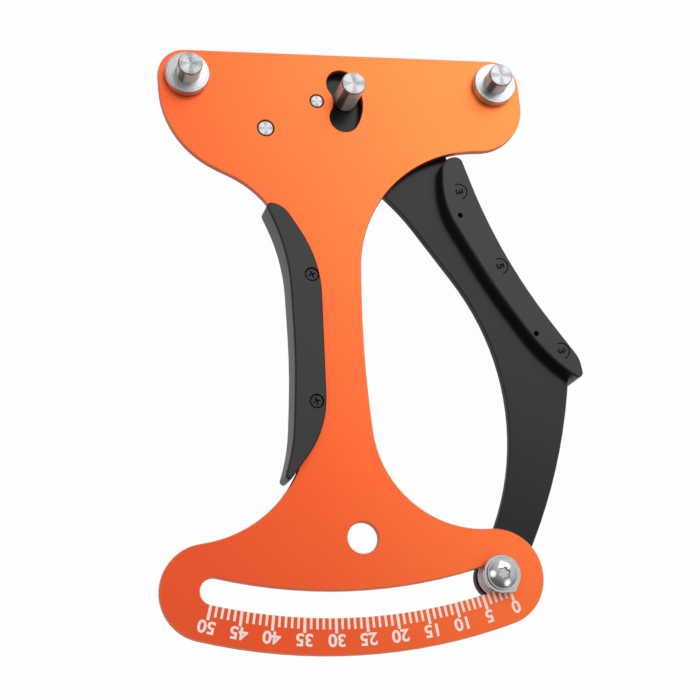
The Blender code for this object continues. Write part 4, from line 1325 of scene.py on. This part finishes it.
@dataclass
class Grips:
    """The two moulded grips, their screws and the moulder's marks."""

    bench: Bench
    pivot: np.ndarray
    head_height: float = 0.0011
    shank_radius: float = 0.00085
    edge: float = 0.00025
    recess_radius: float = 0.00135
    recess_narrow: float = 0.00045
    recess_depth: float = 0.0008
    recess_floor_share: float = 0.35
    recess_turn: float = math.radians(20.0)
    recess_sharpness: int = 3
    mark_radius: float = 0.0026
    mark_width: float = 0.00040
    mark_sweep: Range = (math.radians(-75.0), math.radians(115.0))
    mark_points: int = 40
    mark_digits: Digits = Digits(
        height=0.0027, thickness=0.00004, narrowing=1.15, boldness=0.00009)
    mark_turn: float = math.radians(-80.0)
    marks: tuple = (("3", 0.0450, -0.03235), ("5", 0.0560, -0.0584), ("3", 0.0734, -0.08775))
    block_top: tuple[float, float] = (0.0466, -0.0199)
    block_length: float = 0.0843
    block_depth: float = 0.0135
    block_lean: float = math.radians(22.9)
    block_rounding: float = 0.0006
    block_shares: tuple = (
        (0.0, -0.026, 0.030), (-0.023, 0.439, 0.059), (0.142, 1.015, 0.36), (0.519, 0.872, 2.40),
        (0.860, 0.535, 0.71), (1.020, -0.023, 0.021), (0.920, -0.205, 0.109),
        (0.435, 0.340, 2.05),
    )
    pilot_shares: tuple = ((0.216, 0.749), (0.762, 0.494))
    pilot_radius: float = 0.00088
    pilot_depth: float = 0.0044
    seat_radius: float = 0.00235
    seat_depth: float = 0.0016

    def build(self) -> None:
        """Make the grips, then their screws and marks."""
        for node, body in (("left_grip", Body.FRAME), ("right_grip", Body.LEVER)):
            left = body is Body.FRAME
            grip = self.bench.copy(node, node + "_moulding") if left else self.block()
            self.bench.seat(grip, MouldedPlastic(), body, Slot.PLASTIC, node)
            for end in ("upper", "lower"):
                screw = f"{node}_screw_{end}"
                self.bench.turned(
                    screw, self.screw(screw, left), BlackenedSteel(), body, Slot.SCREW)
        for number, (digit, *place) in enumerate(self.marks):
            for piece in self.mark(number, self.pivot + np.array(place), digit):
                # The marks' plastic is painted darker as shade.
                self.bench.seat(piece, MouldMarkPlastic(), Body.LEVER, Slot.PLASTIC)

    def block_place(self, shares: np.ndarray) -> np.ndarray:
        """Return places on the right grip.

        A place is the top end plus the way down times the first share of the length, and
        the way inwards times the second share of the depth.

        Args:
            shares: The two shares of each place.

        Returns:
            The places in the plane.
        """
        down = directions(self.block_lean - QUARTER_TURN)
        inwards = -directions(self.block_lean)
        return (self.pivot + np.array(self.block_top) + shares[:, :1] * self.block_length * down
                + shares[:, 1:2] * self.block_depth * inwards)

    def block(self) -> bpy.types.Object:
        """Make the right grip, with pilot bores in its front and screw seats in its back."""
        back, front, _ = self.bench.size("right_grip")
        shares = np.array(self.block_shares)
        corners = np.column_stack((self.block_place(shares), shares[:, 2] * self.block_length))
        bores = [
            Bore(place, self.pilot_radius, front, front - self.pilot_depth)
            for place in self.block_place(np.array(self.pilot_shares))]
        bores += [
            Bore(self.bench.axis(f"right_grip_screw_{end}"), self.seat_radius,
                 back, back + self.seat_depth)
            for end in ("upper", "lower")]
        return self.bench.with_flats(PiercedBlock(
            "right_grip_moulding", *closed_outline(corners), (back, front),
            self.block_rounding, bores).build())

    def screw(self, node: str, faces_front: bool) -> list[Row]:
        """Return a cross-recess screw's profile, from the recess' floor to the tip.

        The recess' radius is its narrowest plus the rest times a power of the size of
        cos 2a. The right grip's screws end under the floor of its pilot bores.

        Args:
            node: The solid that it stands for.
            faces_front: Whether its head is at the front.

        Returns:
            The rows.
        """
        low, high, reach = self.bench.size(node)
        face, tip = (high, low) if faces_front else (low, high - self.pilot_depth)
        into = -1.0 if faces_front else 1.0
        wave = np.abs(np.cos(2 * (angles() - self.recess_turn))) ** self.recess_sharpness
        recess = self.recess_narrow + (self.recess_radius - self.recess_narrow) * wave
        under_head = face + into * self.head_height
        return [
            (0.0, face + into * self.recess_depth),
            (recess * self.recess_floor_share, face + into * self.recess_depth), (recess, face),
            (reach - self.edge, face), (reach, face + into * self.edge), (reach, under_head),
            (self.shank_radius, under_head), (self.shank_radius, tip), (0.0, tip),
        ]

    def mark(self, number: int, centre: np.ndarray, digit: str) -> list[bpy.types.Object]:
        """Make one of the moulder's marks: part of a ring about a digit.

        The ring's points are the centre plus its radius, less or plus half of the line's
        width, times (cos, sin) of angles over its open part.

        Args:
            number: The mark's number.
            centre: Its centre.
            digit: The digit inside.

        Returns:
            The ring and the digit.
        """
        front = self.bench.size("right_grip")[1]
        sweep = directions(np.linspace(*self.mark_sweep, self.mark_points))
        radius = self.mark_radius + self.mark_width / 2 * np.array((-1.0, -1.0, 1.0, 1.0))
        level = front + self.mark_digits.thickness * np.array((-1.0, 1.0, 1.0, -1.0))
        points = lifted(centre + sweep[:, None] * radius[:, None], level)
        caps = points.mean(axis=1, keepdims=True).repeat(4, axis=1)
        points = np.concatenate((caps[:1], points, caps[-1:]))
        ring = new_piece(
            filled_mesh(f"mould_mark_ring_{number}", points, grid_faces(len(points), 4)))
        text = self.mark_digits.build(
            f"mould_mark_digit_{number}", digit, lifted(centre, front), self.mark_turn)
        return [ring, text]


@dataclass
class Pointer:
    """The lever arm's end: pointer, screw, sleeve, spacer and nut."""

    bench: Bench
    hole_radius: float = 0.0025
    disc_radius: float = 0.00595
    disc_columns: int = 2 * COLUMNS
    tip_reach: float = 0.0068
    tip_radius: float = 0.0004
    least_radius: float = 0.00005
    tip_angle: float = math.radians(299.5)
    edge: float = 0.00012
    rim_height: float = 0.0006
    rim_width: float = 0.00045
    rim_step: float = 0.00012
    head_growth: float = 0.00030
    head_height: float = 0.0021
    screw_radius: float = 0.0022
    lobe_radius: float = 0.0018
    lobe_wave: float = 0.00022
    lobe_bevel: float = 0.00022
    lobe_depth: float = 0.0010
    lobe_count: int = 6
    lobe_turn: float = math.radians(12.0)
    lobe_floor_share: float = 0.90
    dome_rows: int = 16
    nut_chamfer: float = math.radians(30.0)
    nut_round_share: float = 0.97

    def build(self) -> None:
        """Make the arm and what is clamped to its end."""
        arm = self.bench.copy("lever_arm", "lever_arm_coated")
        self.bench.seat(arm, BlackCoat(), Body.LEVER, Slot.COAT, "lever_arm")
        axis = self.bench.axis("pointer_screw")
        disc = round_piece("pointer_disc", axis, self.pointer(), True, self.disc_columns)
        self.bench.seat(disc, PlatedSteel(), Body.LEVER, Slot.PLATED, "pointer")
        self.bench.turned(
            "pointer_screw", self.screw(), PlatedSteel(), Body.LEVER, Slot.PLATED)
        for node in ("pointer_bushing", "pointer_spacer"):
            rows = self.bench.sleeve(node, self.hole_radius, self.edge)
            sleeve = round_piece(node + "_turning", axis, rows, True)
            self.bench.seat(sleeve, DullSleeve(), Body.LEVER, Slot.PLATED, node)
        self.bench.turned(
            "pointer_nut", self.nut(), PlatedSteel(), Body.LEVER, Slot.PLATED, True,
            "pointer_nut_hexagon")

    def outline(self, inset: float) -> np.ndarray:
        """Return the pointer's radius over the angles.

        It is the disc's radius, except towards the tip: there it is the disc's radius over
        the cosine of the angle past the tangent point, and last the tip's own circle.

        Args:
            inset: How far the outline is drawn in.

        Returns:
            The radius at each angle.
        """
        past_tip = angles(self.disc_columns) - self.tip_angle
        turn = np.abs((past_tip + math.pi) % math.tau - math.pi)
        disc = self.disc_radius - inset
        tip = max(self.tip_radius - inset, self.least_radius)
        distance = self.tip_reach - self.tip_radius
        spread = math.acos((disc - tip) / distance)
        contact = math.atan2(tip * math.sin(spread), distance + tip * math.cos(spread))
        flank = disc / np.cos(np.clip(spread - turn, 0.0, spread))
        inside = np.maximum(tip ** 2 - (distance * np.sin(turn)) ** 2, 0.0)
        end = distance * np.cos(turn) + np.sqrt(inside)
        return np.where(turn > spread, disc, np.where(turn > contact, flank, end))

    def pointer(self) -> list[Row]:
        """Return the pointer's rows: rings of its outline, with broken edges and a hole."""
        bottom, top, _ = self.bench.size("pointer")
        outer, inner = self.outline(0.0), self.outline(self.edge)
        return [
            (self.hole_radius, top), (inner, top), (outer, top - self.edge),
            (outer, bottom + self.edge), (inner, bottom), (self.hole_radius, bottom),
        ]

    def screw(self) -> list[Row]:
        """Return the round-headed screw's profile, with a low rim round its dome.

        The dome is a cap of the sphere through its top and its edge, whose radius is the
        edge's squared radius plus the squared height over twice the height. The recess is
        cut straight down, and its radius is the lobes' plus a wave times cos 6a.

        Returns:
            The rows.
        """
        tip, top, widest = self.bench.size("pointer_screw")
        reach = widest + self.head_growth
        under_head = top - self.head_height
        rim = under_head + self.rim_height
        rim_top = rim - self.rim_step
        dome = reach - self.rim_width
        sphere = (dome ** 2 + (top - rim) ** 2) / (2 * (top - rim))
        around = self.lobe_count * (angles() - self.lobe_turn)
        recess = self.lobe_radius + self.lobe_wave * np.cos(around)
        shares = np.sin(np.linspace(0.0, QUARTER_TURN, self.dome_rows))[:, None]
        cap = recess + (dome - recess) * shares
        heights = top - sphere + np.sqrt(sphere ** 2 - cap ** 2)
        return [
            (0.0, top - self.lobe_depth), (recess * self.lobe_floor_share, top - self.lobe_depth),
            (recess - self.lobe_bevel, heights[0] - self.lobe_bevel),
            *zip(cap, heights),
            (dome, rim_top), (reach - self.edge, rim_top), (reach, rim_top - self.edge),
            (reach, under_head + self.edge), (reach - self.edge, under_head),
            (self.screw_radius, under_head), (self.screw_radius, tip + self.edge),
            (self.screw_radius - self.edge, tip), (0.0, tip),
        ]

    def nut(self) -> list[Row]:
        """Return the nut's rows: a hexagon whose corners fall away on a cone at both faces."""
        bottom, top, corner = self.bench.size("pointer_nut")
        flat = corner * math.cos(math.tau / 12)
        side = hexagon(flat)
        round_part = flat * self.nut_round_share
        fall = (side - round_part) * math.tan(self.nut_chamfer)
        bore = self.screw_radius + self.edge
        return [
            (bore, top), (round_part, top), (side, top - fall), (side, bottom + fall),
            (round_part, bottom), (bore, bottom),
        ]


@dataclass(frozen=True)
class Lamp:
    """A soft lamp that looks at the middle of the tool."""

    name: str
    place: tuple[float, float, float]
    size: float
    power: float
    shape: str = "DISK"

    def build(self) -> None:
        """Put the lamp in the scene."""
        data = bpy.data.lights.new(self.name, "AREA")
        data.shape = self.shape
        data.size = self.size
        data.energy = self.power
        lamp = put(self.name, data)
        lamp.location = self.place
        lamp.rotation_mode = "QUATERNION"
        lamp.rotation_quaternion = (-Vector(self.place)).to_track_quat("-Z", "Y")


@dataclass
class Studio:
    """Camera, pale floor, soft lamps and a white surrounding."""

    pivot: Vector
    picture_width: float = 700.0
    focal_pixels: float = 1693.77
    sensor_width: float = 36.0
    tilts: tuple = (("Z", 0.098232), ("X", -0.264095), ("Y", 0.255116))
    camera_from_pivot: tuple[float, float, float] = (-0.127202, -0.224530, 0.498908)
    floor_half: float = 6.0
    floor_gap: float = 0.0002
    floor_white: float = 0.98
    ground_colour: Colour = (0.86, 0.86, 0.86)
    surround_light: float = 0.85
    surround_dark: float = 0.16
    bright_side: tuple[float, float, float] = (0.55, 0.62, 0.56)
    shade_rise: Range = (-0.1, 1.0)
    lamps: tuple[Lamp, ...] = (
        Lamp("key_lamp", (0.33, 0.42, 0.60), 0.60, 2.1, "SQUARE"),
        Lamp("left_lamp", (-0.42, 0.02, 0.62), 0.38, 0.60),
        Lamp("front_lamp", (0.40, -0.51, 0.50), 0.36, 0.50),
    )

    def build(self) -> None:
        """Make everything round the tool."""
        self.camera()
        self.surround()
        self.floor()
        for lamp in self.lamps:
            lamp.build()
        bpy.context.scene.view_settings.view_transform = "Standard"

    def camera(self) -> None:
        """Place the camera where the photograph's own perspective puts it."""
        data = bpy.data.cameras.new("camera")
        data.sensor_width = self.sensor_width
        data.lens = self.focal_pixels * self.sensor_width / self.picture_width
        first, second, third = (Matrix.Rotation(angle, 3, axis) for axis, angle in self.tilts)
        turn = (first @ second @ third).transposed().to_4x4()
        place = self.pivot + Vector(self.camera_from_pivot)
        camera = put("camera", data)
        camera.matrix_world = Matrix.Translation(place) @ turn
        bpy.context.scene.camera = camera

    def surround(self) -> None:
        """Make the world: white to the camera, a soft gradient to everything else."""
        graph = Graph(bpy.data.worlds.new("surround"))
        bpy.context.scene.world = graph.owner
        direction = graph.node("ShaderNodeTexCoord", {}, {}).outputs["Generated"]
        lean = graph.dot(direction, tuple(Vector(self.bright_side).normalized()))
        light = (lean.step(self.shade_rise) * (self.surround_light - self.surround_dark)
                 + self.surround_dark)
        seen = graph.rays("Camera", "Transmission")
        strength = light * (1.0 - seen) + seen
        white = (1.0, 1.0, 1.0, 1.0)
        glow = graph.node("ShaderNodeBackground", {}, {"Color": white, "Strength": strength})
        graph.node("ShaderNodeOutputWorld", {}, {"Surface": glow})

    def floor(self) -> None:
        """Make the floor: white to the camera and to reflections, but for a soft shadow."""
        corners = self.floor_half * np.array(((-1.0, -1.0), (1.0, -1.0), (1.0, 1.0), (-1.0, 1.0)))
        mesh = filled_mesh("floor", lifted(corners, -self.floor_gap), np.array([(0, 1, 2, 3)]))
        graph = Graph(bpy.data.materials.new("floor_paper"))
        seen = graph.rays("Camera", "Glossy", "Transmission")
        paper = graph.node("ShaderNodeBsdfDiffuse", {}, {"Color": (*self.ground_colour, 1.0)})
        white = graph.node("ShaderNodeEmission", {}, {"Strength": 1.0})
        lit = graph.node(
            "ShaderNodeMixShader", {}, {0: seen * self.floor_white, 1: paper, 2: white})
        clear = graph.node("ShaderNodeBsdfTransparent", {}, {})
        behind = graph.node("ShaderNodeNewGeometry", {}, {}).outputs["Backfacing"]
        whole = graph.node("ShaderNodeMixShader", {}, {0: behind, 1: lit, 2: clear})
        graph.node("ShaderNodeOutputMaterial", {}, {"Surface": whole})
        mesh.materials.append(graph.owner)
        put("floor", mesh)


def main() -> None:
    """Build the stage and every sub-assembly in order."""
    logging.basicConfig(level=logging.INFO, format="%(message)s")
    bench = Bench(frame["nodes"])
    pivot = np.array(frame["joints"][0]["pos_m"][:2])
    front = bench.size("body_plate")[1]
    Studio(Vector((*pivot, front))).build()
    for assembly in (
        Plate(bench, pivot), Posts(bench), Pivot(bench), Grips(bench, pivot), Pointer(bench),
    ):
        log.info("building %s", type(assembly).__name__)
        assembly.build()


if __name__ == "__main__":
    main()
